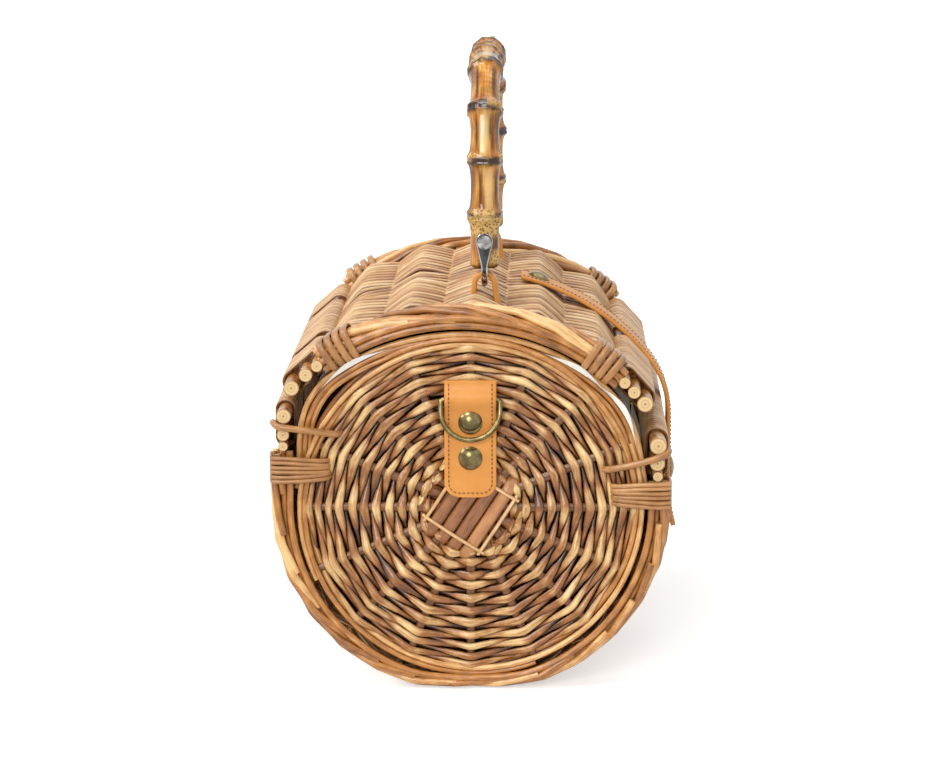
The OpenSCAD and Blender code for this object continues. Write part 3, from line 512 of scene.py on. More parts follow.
def metal_material(name, low, high, smooth, dull, painted_reflections=False):
    """Metal with a cloudy tone and roughness, as plating that has been handled. For chrome the base colour
    also gets painted reflections: dark face on, with painted bands of light towards its edges, picked by
    the facing angle."""
    m, t, p = new_material(name)
    cloud = add(t, "ShaderNodeTexNoise", Scale=260.0, Detail=4.0, Vector=own_place(t))["Fac"]
    shade = ramp(t, cloud, [(0.35, low), (0.65, high)])
    if painted_reflections:
        # Painted reflections: bands of light and dark on the base colour, picked by the facing angle
        edge = add(t, "ShaderNodeLayerWeight", Blend=0.4)["Facing"]
        painted_reflection_bands = ramp(t, edge, [(0.0, 0.02), (0.08, 0.06), (0.22, 0.9), (0.4, 0.1), (0.6, 1), (1.0, 0.4)])
        shade = mixed(t, painted_reflection_bands, shade, (0.86, 0.86, 0.85))
    fill(t, p, {
        "Base Color": shade,
        "Roughness": ramp(t, cloud, [(0.35, dull), (0.65, smooth)]),
        "Metallic": 1.0,
    })
    return m


def cloth_material():
    """Plain cotton whose back is painted near black as shade, for the dark inside seen through the weave:
    two crossed waves along the cloth's U and V give the threads.
    """
    m, t, p = new_material("cotton_cloth_painted_shade_back")
    uv = own_uv(t)
    warp = add(t, "ShaderNodeTexWave", Scale=420.0, bands_direction="X", Vector=uv)["Fac"]
    weft = add(t, "ShaderNodeTexWave", Scale=420.0, bands_direction="Y", Vector=uv)["Fac"]
    threads = calc(t, "MULTIPLY", warp, weft)
    front = ramp(t, threads, [(0.0, (0.80, 0.77, 0.70)), (1.0, (0.92, 0.90, 0.85))])
    # Painted shade: the back of the cloth, which faces the weave, is near black
    back = add(t, "ShaderNodeNewGeometry")["Backfacing"]
    fill(t, p, {
        "Base Color": mixed(t, back, front, (0.014, 0.008, 0.005)),
        "Normal": bump(t, threads, 0.2, 0.0003),
        "Roughness": 0.85,
        "Specular IOR Level": 0.1,
    })
    return m


WEAVE = willow("willow_strips", (0.24, 0.08, 0.018), (0.64, 0.32, 0.105), (0.96, 0.67, 0.35), 0.34, 0.2, 0.95)
# The end panels' willow is darker than the strips', with paler highlights against deeper darks
DISC = willow("willow_disc", (0.05, 0.014, 0.003), (0.37, 0.135, 0.027), (0.94, 0.63, 0.27), 0.26, 0.35, 0.5)
ROD = willow("willow_rods", (0.11, 0.034, 0.007), (0.52, 0.21, 0.044), (0.90, 0.58, 0.245), 0.26, 0.35)
BARK = willow("willow_sticks", (0.15, 0.05, 0.013), (0.38, 0.145, 0.045), (0.58, 0.27, 0.10), 0.3, 0.35)
CANE = willow("cane_ties", (0.18, 0.065, 0.016), (0.46, 0.21, 0.062), (0.76, 0.46, 0.20), 0.32, 0.3)
BAMBOO = bamboo_material()
LEATHER = leather_material("leather_tan", (0.66, 0.25, 0.038), (0.78, 0.335, 0.064))
THREAD = leather_material("thread_brown", (0.20, 0.075, 0.02), (0.28, 0.11, 0.03))
BRASS = metal_material("brass_antique", (0.13, 0.098, 0.040), (0.27, 0.21, 0.095), 0.20, 0.32)
# The steel's bands of light and dark towards its edges are painted reflections
STEEL = metal_material("steel_polished", (0.025, 0.027, 0.026), (0.075, 0.077, 0.075), 0.07, 0.13, True)
SCREW = metal_material("steel_screws", (0.14, 0.14, 0.135), (0.60, 0.60, 0.58), 0.1, 0.2)
COTTON = cloth_material()


# Woven wall and lid

def weave(arc, run, stakes, rise, under_strap=1.0):
    """Strips in pairs that run along an arc and pass over and under the stakes. The lift from the arc is a
    triangle wave of the run over the stake pitch, its peaks rounded by the arcsine of a sine, with the sign
    turned from row to row, so a pair is folded over one stake and under the next. Its half width is
    greatest on top, less between the stakes and least underneath; each strip of the pair takes about half.
    rise is the highest lift, and under_strap the part of it that is left in the middle of the bag, where
    the closing strap lies."""
    n = stakes * 14 + 1
    t = np.linspace(0, 1, n)
    x, z, nx, nz = arc(t)
    y = ROW_Y[:, None]
    sign = np.where(np.arange(ROWS) % 2 == 0, 1, -1)[:, None]
    wave = sign * np.arcsin(FOLD * np.sin(math.pi * t * stakes)) / math.asin(FOLD)
    lift = rise * (1 - (1 - under_strap) * np.exp(-(y / STRAP_ROOM) ** 6)) * wave
    phase = rng.random((ROWS, 1)) * 6.3
    y = y + 0.3 * np.sin(phase + t * run / 31) + 0.2 * np.sin(2.3 * phase + t * run / 11)
    half = 2.05 + 1.15 * np.clip(wave, 0, 1) - 0.75 * np.clip(-wave, 0, 1) + 0.15 * np.sin(5 * phase)
    slope = np.gradient(lift, axis=1) / (run / (n - 1))
    thick = (1.05 + 0.2 * rng.random((ROWS, 1))) / np.sqrt(1 + slope ** 2)
    edge = np.clip((WEAVE_Y + 1.5 - np.abs(y)) / half, 0.3, 1)
    groups = []
    for hand in (-1, 1):
        share = 0.5 + hand * 0.08 * np.sin(3 * phase)
        over = lift - 0.25 * share
        path = points(x + nx * over, y + hand * half * edge * (1 - share), z + nz * over)
        g = strands(path, points(nx, 0, nz), half * edge * share, thick)
        # Painted light: the tone is paler where a strip is over a stake and darker where it dives under one
        tone = 1.25 * rng.random((ROWS, 1)) - 0.15 + 0.25 * wave
        g["tone"][:tone.size * STRIP_SIDES] = np.repeat(tone.ravel(), STRIP_SIDES)
        groups.append(g)
    return groups


def stakes_of(arc, stakes, span):
    """Round stakes along the barrel in the middle of the weave, one under each crest."""
    x, z, nx, nz = arc((np.arange(stakes) + 0.5) / stakes)
    path = points(x[:, None], np.linspace(-span, span, 9), z[:, None])
    return strands(path, points(nx, 0, nz)[:, None], 2.0, 1.75)


def wall_arc(t):
    """Middle of the wall, at its depth under the outline."""
    return outline(t, WALL_BACK_Z, WALL_FRONT_Z, WALL_DEPTH)


WALL_RUN = half_run(WALL_BACK_Z) + half_run(WALL_FRONT_Z)
LID_SPAN = LID_BACK_A - LID_FRONT_A
LID_WRAP = 4.9 / LID_R
LID_T0 = (LID_BACK_A - LID_BACK_AS[2] + LID_WRAP) / LID_SPAN
LID_T1 = 1 - (LID_FRONT_AS[2] - LID_FRONT_A + LID_WRAP) / LID_SPAN
LID_RUN = LID_SPAN * LID_R * (LID_T1 - LID_T0)


def lid_mid(t):
    """Middle of the lid between the wraps of its two edges."""
    return lid_arc(LID_T0 + (LID_T1 - LID_T0) * t, LID_R)


piece("woven_wall", weave(wall_arc, WALL_RUN, WALL_STAKES, WALL_RISE), WEAVE, "basket",
      ["basket_wall"])
piece("wall_stakes", [stakes_of(wall_arc, WALL_STAKES, 110)], ROD, "basket")
piece("woven_lid", weave(lid_mid, LID_RUN, LID_STAKES, LID_RISE, UNDER_STRAP), WEAVE, "lid",
      ["lid_panel"])
piece("lid_stakes", [stakes_of(lid_mid, LID_STAKES, 112)], ROD, "lid")


# Rim rods and their wraps

def rim_rods(places):
    """Straight peeled rods along the barrel at (x, z, radius): the middle line and the radius waver a
    little."""
    p = np.array(places)
    y = np.linspace(-END_Y, END_Y, 60)
    phase = rng.random((len(p), 1)) * 6.3
    x = p[:, :1] + 0.18 * np.sin(y / 37 + phase)
    z = p[:, 1:2] + 0.18 * np.cos(y / 29 + phase)
    radius = p[:, 2:] * (0.97 + 0.03 * np.sin(y / 17 + 2 * phase))
    return strands(points(x, y, z), np.array([0, 0, 1.0]), radius, radius, 16)


def slot_loops(first, last, radius, ys, half_w=1.95, half_t=0.65, lean=0.6):
    """Flat loops round two parallel rods: half circles about the first and the last middle, joined by
    straight runs. lean moves the two straight runs of a loop apart along the barrel."""
    first, last = np.array(first), np.array(last)
    way = math.atan2(*(first - last)[::-1])
    a = way + np.linspace(-math.pi / 2, 1.5 * math.pi, 28, endpoint=False) + 0.01
    near = np.cos(a - way) >= 0
    x = np.where(near, first[0], last[0]) + radius * np.cos(a)
    z = np.where(near, first[1], last[1]) + radius * np.sin(a)
    path = points(x, np.asarray(ys, float)[:, None] + lean * np.sin(a - way), z)
    tone = 0.2 + 0.8 * rng.random(len(ys))
    return strands(path, radial(a), half_w, half_t, closed=True, square=0.75, tone=tone)


def row_ys(*free):
    """Middles of the rows of weave along the barrel, without those within a half width of a free place."""
    y = ROW_Y
    for middle, half in free:
        y = y[np.abs(y - middle) > half]
    return y


def rods_piece(name, places, body, node):
    """The peeled rods of a rim as a piece."""
    piece(name, [rim_rods(places)], ROD, body, [node])


def strips_piece(name, first, last, radius, ys, body, node):
    """The ends of the weave, turned round the rods of a rim, as a piece."""
    piece(name, [slot_loops(first, last, radius, ys)], WEAVE, body, [node])


hinge_ys = row_ys((-HINGE_LOOP_Y, 6.4), (HINGE_LOOP_Y, 6.4))
rods_piece("hinge_rod_peeled", [(*HINGE, HINGE_ROD_R)], "basket", "hinge_rod")
rods_piece("back_rim_peeled", [(-WALL_X, z, r) for z, r in BACK_RODS], "basket", "back_rim_rods")
rods_piece("front_rim_peeled", [(WALL_X, z, r) for z, r in FRONT_RODS], "basket", "front_rim_rods")
strips_piece("back_rim_strips", HINGE, (-WALL_X, 121.7), HINGE_WRAP_R, hinge_ys, "basket", "back_rim_wraps")
strips_piece("front_rim_strips", (WALL_X, 121), (WALL_X, 107.8), RIM_WRAP_R, row_ys(), "basket",
             "front_rim_wraps")
rods_piece("lid_back_peeled", [(*on_lid(a), r) for a, r in zip(LID_BACK_AS, LID_ROD_R)], "lid",
           "lid_back_rods")
rods_piece("lid_front_peeled", [(*on_lid(a), r) for a, r in zip(LID_FRONT_AS, LID_ROD_R)], "lid",
           "lid_front_rods")
strips_piece("lid_back_strips", on_lid(LID_BACK_A), on_lid(LID_BACK_AS[2] + 1 / LID_R), RIM_WRAP_R,
             hinge_ys, "lid", "lid_back_wraps")
strips_piece("lid_front_strips", on_lid(LID_FRONT_A), on_lid(LID_FRONT_AS[2] - 1 / LID_R), RIM_WRAP_R,
             row_ys((0, 13)), "lid", "lid_front_wraps")


# Rolled borders

def rolled_border(arc, count, share, radius, core, half_y, side, turn, pieces, spread):
    """Rods of a rolled border. Along its own share of the arc each rod turns round the border's flat oval
    section, from the inside edge over the outside to the end face, where it is cut; the rods start one
    after another. A rod is stiff, so it runs in a few straight pieces, set out a little at the sides for
    what they cut off the curve. arc(t) gives x, z and the outward normal in the middle of the section,
    core(t) half its height."""
    n = 40
    u = np.linspace(0, 1, n)[None]
    t = np.linspace(-0.75 * share, 1 - 0.25 * share, count)[:, None] + share * u
    on_arc = np.clip(t, 0, 1)
    psi = np.radians(-105 + (turn + 50 * (rng.random((count, 1)) - 0.5)) * u)
    x, z, nx, nz = arc(on_arc)
    off = core(on_arc) * np.cos(psi) + spread * np.abs(nx) ** 2
    path = points(x + nx * off, side * (BORDER_Y + half_y * np.sin(psi)), z + nz * off)
    thick = radius * (0.88 + 0.14 * rng.random((count, 1))) * (1 - 0.06 * u)
    keep = (t > 0) & (t < 1)
    first = np.argmax(keep, 1)[:, None]
    last = n - 1 - np.argmax(keep[:, ::-1], 1)[:, None]
    place = first + (last - first) * u
    path = between(path, place)
    normal = between(points(nx, 0, nz), place)
    bend = path[:, np.linspace(0, n - 1, pieces + 1).round().astype(int)]
    path = 0.1 * path + 0.9 * between(bend, np.linspace(0, pieces, n)[None])
    return strands(path, normal, thick, thick, 10, tone=1.3 * rng.random(count) - 0.1)


def core_rods(arc, offsets, radius, side):
    """Plain rods inside a border, at offsets of (along the normal, distance from the bag's middle)."""
    x, z, nx, nz = arc(np.linspace(0, 1, 70))
    off = np.array(offsets)
    path = points(x + nx * off[:, :1], side * off[:, 1:], z + nz * off[:, :1])
    return strands(path, points(nx, 0, nz), radius, radius, tone=0.8 * rng.random(len(off)) - 0.15)


def border_gap(t):
    """Room between the basket's outline and the end panel, which the wall's border fills."""
    x, z = outline(t, BORDER_BACK_Z, BORDER_FRONT_Z, 0.0)[:2]
    return np.clip(np.hypot(x, z - PANEL_Z) - PANEL_R - 0.4, 4.9, 10.2)


def border_mid(t):
    """Middle of the wall's border: half of its room under the outline."""
    return outline(t, BORDER_BACK_Z, BORDER_FRONT_Z, border_gap(t) / 2)


def border_core(t):
    """Half height of the wall's border for the middle of a rod."""
    return np.maximum(border_gap(t) / 2 - 2.0, 0.4)


def lid_border_mid(t):
    """Middle of the lid's border, between the wraps of the two edges."""
    return lid_arc(LID_T0 - 0.017 + (LID_T1 - LID_T0 + 0.034) * t, LID_BORDER_R)


def lid_border_core(t):
    """Half height of the lid's border for the middle of a rod, the same all along."""
    return 4.6 + 0 * t


def lid_reach(a, out):
    """Distance from a panel's middle to the lid's inner edge at the angle a, from the circle about the lid's
    centre. It is eased to out below the lid's corners, by a smooth step from 45 to 80 degrees off the top."""
    rise = PANEL_Z - LID_C[1]
    along = -LID_C[0] * np.cos(a) + rise * np.sin(a)
    reach = np.sqrt(along ** 2 - LID_C[0] ** 2 - rise ** 2 + LID_INNER_R ** 2) - along
    f = np.clip((np.abs(np.degrees(a) - 90) - 45) / 35, 0, 1)
    return out + (reach - out) * (1 - f * f * (3 - 2 * f))


def panel_border(side):
    """Rods round an end panel. Each runs for a part of a turn and moves outwards from the inner to the
    outer edge of the band and from behind the panel to its front, so that its two ends lie under and over
    its neighbours. A second layer behind them closes the band, and three looser rods follow the lid's inner
    edge."""
    groups = []
    u = np.linspace(0, 1, 110)[None]
    # Rods, share of a turn, first and last radius, place along the barrel, lift, half thickness, tone
    front_layer = (4, 0.56, 77.4, 83.2, -0.3, 2.5, 1.45, 0.1)
    # The back layer's lower tone is painted shade behind the front rods
    back_layer = (3, 0.95, 83.0, 78.6, -3.2, 0.4, 1.7, -0.7)
    for count, share, r0, r1, y0, lift, size, tone in (front_layer, back_layer):
        start = (np.arange(count)[:, None] + 0.3 * rng.random((count, 1))) / count
        a = TURN * (start + share * u)
        r = r0 + (r1 - r0) * u + 0.25 * np.sin(9 * u + start * 40)
        y = PANEL_Y + y0 + lift * np.sin(math.pi * (1.1 * u - 0.2))
        thick = size * (0.94 + 0.12 * rng.random((count, 1))) * (1 - 0.1 * u)
        tones = tone + 0.8 * rng.random(count)
        groups.append(strands(round_panel(r, a, side * y), radial(a), thick, thick, 10, tone=tones))
    a = np.radians(np.linspace(6, 174, 120))[None]
    gap = np.array([[2.0], [4.8], [7.6]])
    r = lid_reach(a, PANEL_TOP_R) - gap + 0.2 * np.sin(5 * a + gap)
    y = PANEL_Y + 1.4 - 0.25 * gap - 2.6 * np.abs(np.cos(a)) ** 12
    tones = np.array([0.75, 0.35, 0.6])
    groups.append(strands(round_panel(r, a, side * y), radial(a), 1.42, 1.42, 10, tone=tones))
    return groups


# End panels

def panel_weave(side):
    """Rounds of thin rods woven through the spokes of an end panel: a round runs straight from one spoke to
    the next, over one and under the other, with the turn changed from round to round, and its corners are
    eased by a moving mean. It is widest where it is over a spoke and pinched where it dives, which gives
    each crossing a leaf shape. The last rounds lie closer and are thinner."""
    rounds, part, wide = 21, 12, 15
    j = np.arange(rounds)[:, None]
    k = np.arange(SPOKES)[None]
    spoke = math.pi / 2 + k * TURN / SPOKES
    r = FIRST_ROUND_R + ROUND_PITCH * np.minimum(j, wide) + CLOSE_PITCH * np.maximum(j - wide, 0)
    r = r + rng.normal(0, 0.35, (rounds, SPOKES))
    sign = np.where((j + k) % 2 == 0, 1, -1)
    corner = round_panel(r, spoke, side * (PANEL_Y + SPOKE_LIFT * sign))
    f = (np.arange(part) / part)[:, None]
    path = corner[:, :, None] * (1 - f) + np.roll(corner, -1, 1)[:, :, None] * f
    path = path.reshape(rounds, SPOKES * part, 3)
    path = (np.roll(path, 1, 1) + 2 * path + np.roll(path, -1, 1)) / 4
    wave = (path[..., 1] * side - PANEL_Y) / SPOKE_LIFT
    over = np.clip(wave, 0, 1)
    size = 1.15 + 0.15 * rng.random((rounds, 1)) + (0.85 + 0.3 * rng.random((rounds, 1))) * over ** 0.6
    size = size * np.where(j > wide, 0.86, 1.0)
    uneven = np.repeat(1 + 0.16 * (rng.random((rounds, SPOKES)) - 0.5), part, 1)
    g = strands(path, facing(side), size * uneven, 1.05 + 0.2 * over, 10, closed=True, square=0.9)
    own = 0.35 + 0.5 * (rng.random((rounds, 1)) - 0.5) + 0.75 * (rng.random((rounds, 2 * SPOKES)) - 0.45)
    own = np.repeat(own, part // 2, 1)
    own = (np.roll(own, 1, 1) + own + np.roll(own, -1, 1)) / 3
    # Painted light: a round is paler where it lies over a spoke and darker where it dives behind one
    g["tone"] = np.repeat((own + 0.35 * over - 0.85 * np.clip(0.25 - wave, 0, 1)).ravel(), 10)
    return g


def panel_spokes(side):
    """Straight spokes from the middle of an end panel to its border."""
    a = math.pi / 2 + np.arange(SPOKES)[:, None] * TURN / SPOKES
    r = np.linspace(15, 80, 12)[None]
    path = round_panel(r, a, side * PANEL_Y)
    return strands(path, facing(side), 2.7 - 0.008 * r, 1.4, tone=0.3 * rng.random(SPOKES) - 0.35)


def cross_frame(quarter, side):
    """Directions along and across the crossed sticks after some quarter turns, and the middle of the
    panel."""
    a = STICK_A + quarter * math.pi / 2
    along = np.array([math.cos(a), 0, math.sin(a)])
    across = np.array([-math.sin(a), 0, math.cos(a)])
    return along, across, np.array([0, side * PANEL_Y, PANEL_Z])


def panel_sticks(side):
    """The crossed middle: four thick sticks in front and four behind at right angles to them, their ends
    bent back by the eighth power of the run."""
    groups = []
    k = (np.arange(4) - 1.5)[:, None, None] * STICK_PITCH
    t = np.linspace(-STICK_HALF, STICK_HALF, 30)[None, :, None]
    for inside in (0, 1):
        along, across, middle = cross_frame(inside, side)
        lift = (1 - 2 * inside) * STICK_LIFT * (1 - 1.5 * (t / STICK_HALF) ** 8)
        path = along * t + across * k + middle + facing(side) * lift
        groups.append(strands(path, facing(side), 3.25, 1.9, 12, square=0.9))
    return groups


def panel_ties(side):
    """Thin pale strips round the crossed middle: two along its sides and two across its ends, bowed
    outwards."""
    groups = []
    half = 17.5
    t = np.linspace(-half, half, 24)[None, :, None]
    bow = 4.5 - 2.2 * np.abs(t / half) ** 4
    for quarter in range(4):
        along, across, middle = cross_frame(quarter, side)
        path = along * t + across * 15.4 + facing(side) * bow + middle
        groups.append(strands(path, facing(side), 1.0, 0.7, tone=0.6 + 0.3 * rng.random(1)))
    return groups


def end_ties(side):
    """Cane that ties a panel to the wall on each side: three double turns above each other, from inside the
    panel's weave over the face, round the wall's border and back in, and one thin tie rod beside the rim.
    Each is a smooth line through a few points."""
    groups = []
    for hand, z0 in ((-1, PANEL_Z + 19), (1, PANEL_Z + 7)):
        for k in (-1, 0, 1):
            z = z0 + 4.6 * k
            for pair in (-1.05, 1.05):
                up = z + pair
                knots = [(66 + rng.random() * 2, 116.5, z - 1.6 * k), (68.5, 121.5, up - 1.4 * k),
                         (72, 124.2, up - 1.1 * k), (80, 124.9, up - 0.5 * k), (89, 125.2, up),
                         (94.8, 124.3, up), (96.1, 121, up), (96.1, 114, up), (95.4, 108.6, up),
                         (91, 107.6, up)]
                p = smooth_path(knots, 44) * np.array([hand, side, 1])
                normal = unit(p - np.array([hand * 84, side * 115, 0])) * np.array([1, 1, 0])
                groups.append(strands(p[None], normal, 1.1, 1.0, tone=0.1 + 0.5 * rng.random(1)))
    back_tie = [(-95.5, 119.5, 131.5), (-92, 124.9, 130.2), (-80, 125.2, 128.6), (-66, 123.6, 126.6),
                (-62, 118, 126)]
    front_tie = [(95.6, 119.5, 118.2), (93, 125.0, 116.6), (80, 125.2, 112.6), (67, 123.6, 109.6),
                 (63, 118, 109)]
    for knots in (back_tie, front_tie):
        p = smooth_path(knots, 30) * np.array([1, side, 1])
        groups.append(strands(p[None], facing(side), 1.7, 1.5, tone=0.3))
    return groups


def lid_ties(side):
    """Cane turned round the border of the lid near its two edges: four loops of a rounded box section
    each."""
    groups = []
    c, s = rounded(np.linspace(0, TURN, 32, endpoint=False), 0.55)
    r = LID_BORDER_R + 7.7 * c
    for middle in (LID_FRONT_AS[2] + LID_TIE_OFF / LID_R, LID_BACK_AS[2] - LID_TIE_OFF / LID_R):
        b = middle + (np.arange(4) - 1.5)[:, None] * LID_TIE_PITCH / LID_R + 0.006 * s
        path = points(LID_C[0] + r * np.cos(b), side * (BORDER_Y + 8.3 * s), LID_C[1] + r * np.sin(b))
        normal = points(c * np.cos(b), side * s, c * np.sin(b))
        groups.append(strands(path, normal, 1.85, 0.85, closed=True, tone=0.1 + 0.5 * rng.random(4)))
    return groups


# Leather

def ribbon(path, normal, half_w, half_t):
    """A leather strip: a rounded flat section carried along one path."""
    return strands(path[None], normal, half_w, half_t, 28, square=0.32)


def stitches(path, normal, pitch=2.15, length=1.25):
    """Short thread stitches along a line, at even runs, each bowed a little out of the leather."""
    normal = np.broadcast_to(normal, path.shape)
    step = np.linalg.norm(np.diff(path, axis=0), axis=1)
    run = np.concatenate([[0], np.cumsum(step)])
    count = int(run[-1] // pitch)
    s = (np.arange(count)[:, None] + 0.5) * run[-1] / count + np.linspace(-0.5, 0.5, 5) * length
    p = np.stack([np.interp(s, run, path[:, k]) for k in range(3)], -1)
    q = unit(np.stack([np.interp(s, run, normal[:, k]) for k in range(3)], -1))
    p = p + q * np.array([-0.25, 0.08, 0.16, 0.08, -0.25])[:, None]
    return strands(p, q, 0.32, 0.28, 6, tone=0.5)


def tab_swell(z):
    """Rise of a tab's leather over the ring's bar: a bell curve about the bar's height."""
    return 1.55 * np.exp(-((z - BAR_Z) / 4.4) ** 2)


def tab_leather(side):
    """The leather tab of a ring: flat up the panel with rounded lower corners, out over the ring's bar near
    its top. The half width at the lower end is that of a quarter circle. Gives the tab and the stitches
    round its edge."""
    round_z = TAB_LOW_Z + TAB_ROUND
    flat = TAB_HALF - TAB_ROUND
    z = np.concatenate([np.linspace(TAB_LOW_Z + 0.02, round_z, 12), np.linspace(105, 130, 9),
                        np.linspace(132, 153, 36)])
    swell = tab_swell(z)
    low_half = flat + np.sqrt(np.maximum(TAB_ROUND ** 2 - (round_z - z) ** 2, 0.02))
    path = points(0, side * (TAB_Y + 1.1 + 0.75 * swell), z)
    tab = ribbon(path, facing(side), np.where(z < round_z, low_half, TAB_HALF), 1.05 + 0.75 * swell)
    corner = np.linspace(0, math.pi / 2, 10)
    small = TAB_ROUND - STITCH_IN
    low = np.stack([flat + small * np.sin(corner), round_z - small * np.cos(corner)], -1)
    up = np.stack([np.full(80, TAB_HALF - STITCH_IN), np.linspace(104, 152, 80)], -1)
    right = np.concatenate([[(0, TAB_LOW_Z + STITCH_IN)], low, up])
    line = np.concatenate([right[::-1] * np.array([-1, 1]), right[1:]])
    face = side * (TAB_Y + 2.15 + 1.5 * tab_swell(line[:, 1]))
    dense = np.linspace(0, len(line) - 1, 600)
    seam = np.stack([np.interp(dense, np.arange(len(line)), v) for v in (line[:, 0], face, line[:, 1])], -1)
    return tab, stitches(seam, facing(side))


LID_CORE = [(-4.6, 112.2), (-4.6, 116.7), (-4.6, 121.4), (0, 114), (0, 118.6), (-1.0, 121.4)]
WALL_CORE = [(0, 112.5), (0, 118.5), (-2.8, 121.2)]
ENDS = (("left", -1), ("right", 1))
for name, side in ENDS:
    piece(f"{name}_panel_weave", [panel_weave(side)], DISC, "basket", [f"{name}_end_panel"])
    piece(f"{name}_panel_spokes", [panel_spokes(side)], BARK, "basket")
    piece(f"{name}_panel_sticks", panel_sticks(side), BARK, "basket", [f"{name}_panel_cross"])
    piece(f"{name}_panel_ties", panel_ties(side), WEAVE, "basket")
    piece(f"{name}_panel_rolled_border", panel_border(side), ROD, "basket",
          [f"{name}_panel_border"])
    rolled = rolled_border(border_mid, count=19, share=0.25, radius=2.0, core=border_core, half_y=5.3,
                           side=side, turn=225, pieces=4, spread=2.3)
    piece(f"{name}_wall_rolled_border", [rolled, core_rods(border_mid, WALL_CORE, 1.7, side)], ROD, "basket",
          [f"{name}_wall_border"])
    piece(f"{name}_end_cane", end_ties(side), CANE, "basket", [f"{name}_end_bindings"])
    tab, thread = tab_leather(side)
    piece(f"{name}_tab_leather", [tab], LEATHER, "basket", [f"{name}_ring_tab"])
    piece(f"{name}_tab_thread", [thread], THREAD, "basket")
    rolled = rolled_border(lid_border_mid, count=10, share=0.62, radius=1.95, core=lid_border_core,
                           half_y=5.2, side=side, turn=215, pieces=5, spread=0.6)
    piece(f"lid_{name}_rolled_border", [rolled, core_rods(lid_border_mid, LID_CORE, 1.95, side)], ROD, "lid",
          [f"lid_{name}_border"])
    piece(f"lid_{name}_cane", lid_ties(side), CANE, "lid", [f"lid_{name}_bindings"])
    loop_ys = side * HINGE_LOOP_Y + np.array([-2.75, 0, 2.75])
    loops = slot_loops(on_lid(LID_BACK_A), HINGE, HINGE_LOOP_R, loop_ys, half_w=1.3, half_t=0.6, lean=0.0)
    piece(f"hinge_cane_{name}", [loops], CANE, "lid", [f"hinge_loop_{name}"])


# Handle loops, strap and bamboo handle

def handle_loop(side):
    """A leather loop through the lid under a shackle's bow: in from one side under the lid, up, round a
    half circle over the bow, down, and out to the other side."""
    a = np.linspace(math.pi, 0, 17)
    arch = np.stack([LOOP_R * np.cos(a), BOW_Z + LOOP_R * np.sin(a)], -1)
    left = np.array([(-11.6, 175.1), (-9.6, 175.3), (-8.2, 176.6), (-7.4, 179), (-6.3, 184), (-5.4, 188.5)])
    xz = np.concatenate([left, arch, left[::-1] * np.array([-1, 1])])
    way = np.gradient(xz, axis=0)
    path = points(HANDLE_X + xz[:, 0], side * HANDLE_HALF, xz[:, 1])
    return ribbon(path, unit(points(-way[:, 1], 0, way[:, 0])), 5.0, 1.38)


def shackle(side):
    """A forged shackle: a round bow under the loop that widens into a flat domed eye up each side of the
    leg. The line is a straight, a half circle and a straight; the half width is a circle's above the screw
    and tapers evenly below it, down to the round bow."""
    mid = BOW_Z + SHACKLE_R
    up = np.concatenate([SCREW_Z + EYE_R * np.sin(np.linspace(1.5, 0, 14)),
                         np.linspace(SCREW_Z, mid, 12)[1:]])
    a = np.linspace(0, math.pi, 25)[1:-1]
    z = np.concatenate([up, mid - SHACKLE_R * np.sin(a), up[::-1]])
    y = np.concatenate([0 * up - SHACKLE_R, -SHACKLE_R * np.cos(a), 0 * up + SHACKLE_R])
    eye = np.where(z > SCREW_Z, np.sqrt(np.maximum(EYE_R ** 2 - (z - SCREW_Z) ** 2, 0.05)),
                   WIRE_R + (EYE_R - WIRE_R) * np.clip((z - mid) / (SCREW_Z - mid), 0, 1))
    half_t = PLATE_HALF + (WIRE_R - PLATE_HALF) * np.clip((mid + 1 - z) / 4, 0, 1)
    leg = z >= mid
    normal = points(0, np.where(leg, np.sign(y), y / SHACKLE_R), np.where(leg, 0, (z - mid) / SHACKLE_R))
    path = points(HANDLE_X, side * HANDLE_HALF + y, z)
    return strands(path[None], normal, eye, half_t, 20, square=0.85)


def strap_line():
    """Middle line of the closing strap in XZ with its outward normal: along the lid, round a bend at the
    lid's front edge, and straight down to the tip, which stands off a little."""
    leave = LID_FRONT_A + math.radians(2.5)
    a = np.linspace(math.acos(28 / STRAP_R), leave, 40)
    b = np.linspace(leave, 0, 40)
    out = np.array([math.cos(leave), math.sin(leave)])
    reach = STRAP_X - LID_C[0] - STRAP_R * out[0]
    straight = (reach - STRAP_BEND * (1 - out[0])) / out[1]
    bend = LID_C + (STRAP_R - STRAP_BEND) * out + straight * np.array([out[1], -out[0]])
    down = np.concatenate([np.linspace(bend[1], 66, 20)[1:], np.linspace(65.5, 54.02, 24)])
    flare = 3.2 * np.clip((74 - down) / 20, 0, 1) ** 1.5
    x = np.concatenate([LID_C[0] + STRAP_R * np.cos(a), bend[0] + STRAP_BEND * np.cos(b), STRAP_X + flare])
    z = np.concatenate([LID_C[1] + STRAP_R * np.sin(a), bend[1] + STRAP_BEND * np.sin(b), down])
    turn = np.concatenate([a, b, 0 * down])
    return points(x, 0, z), radial(turn)


def strap_widths(path):
    """Half width of the closing strap: even, with a half circle at its tip."""
    z = path[:, 2]
    at_tip = (z < STRAP_TIP_Z) & (path[:, 0] > WALL_X)
    tip = np.sqrt(np.maximum(STRAP_HALF ** 2 - (STRAP_TIP_Z - np.minimum(z, STRAP_TIP_Z)) ** 2, 0.02))
    return np.where(at_tip, tip, STRAP_HALF)


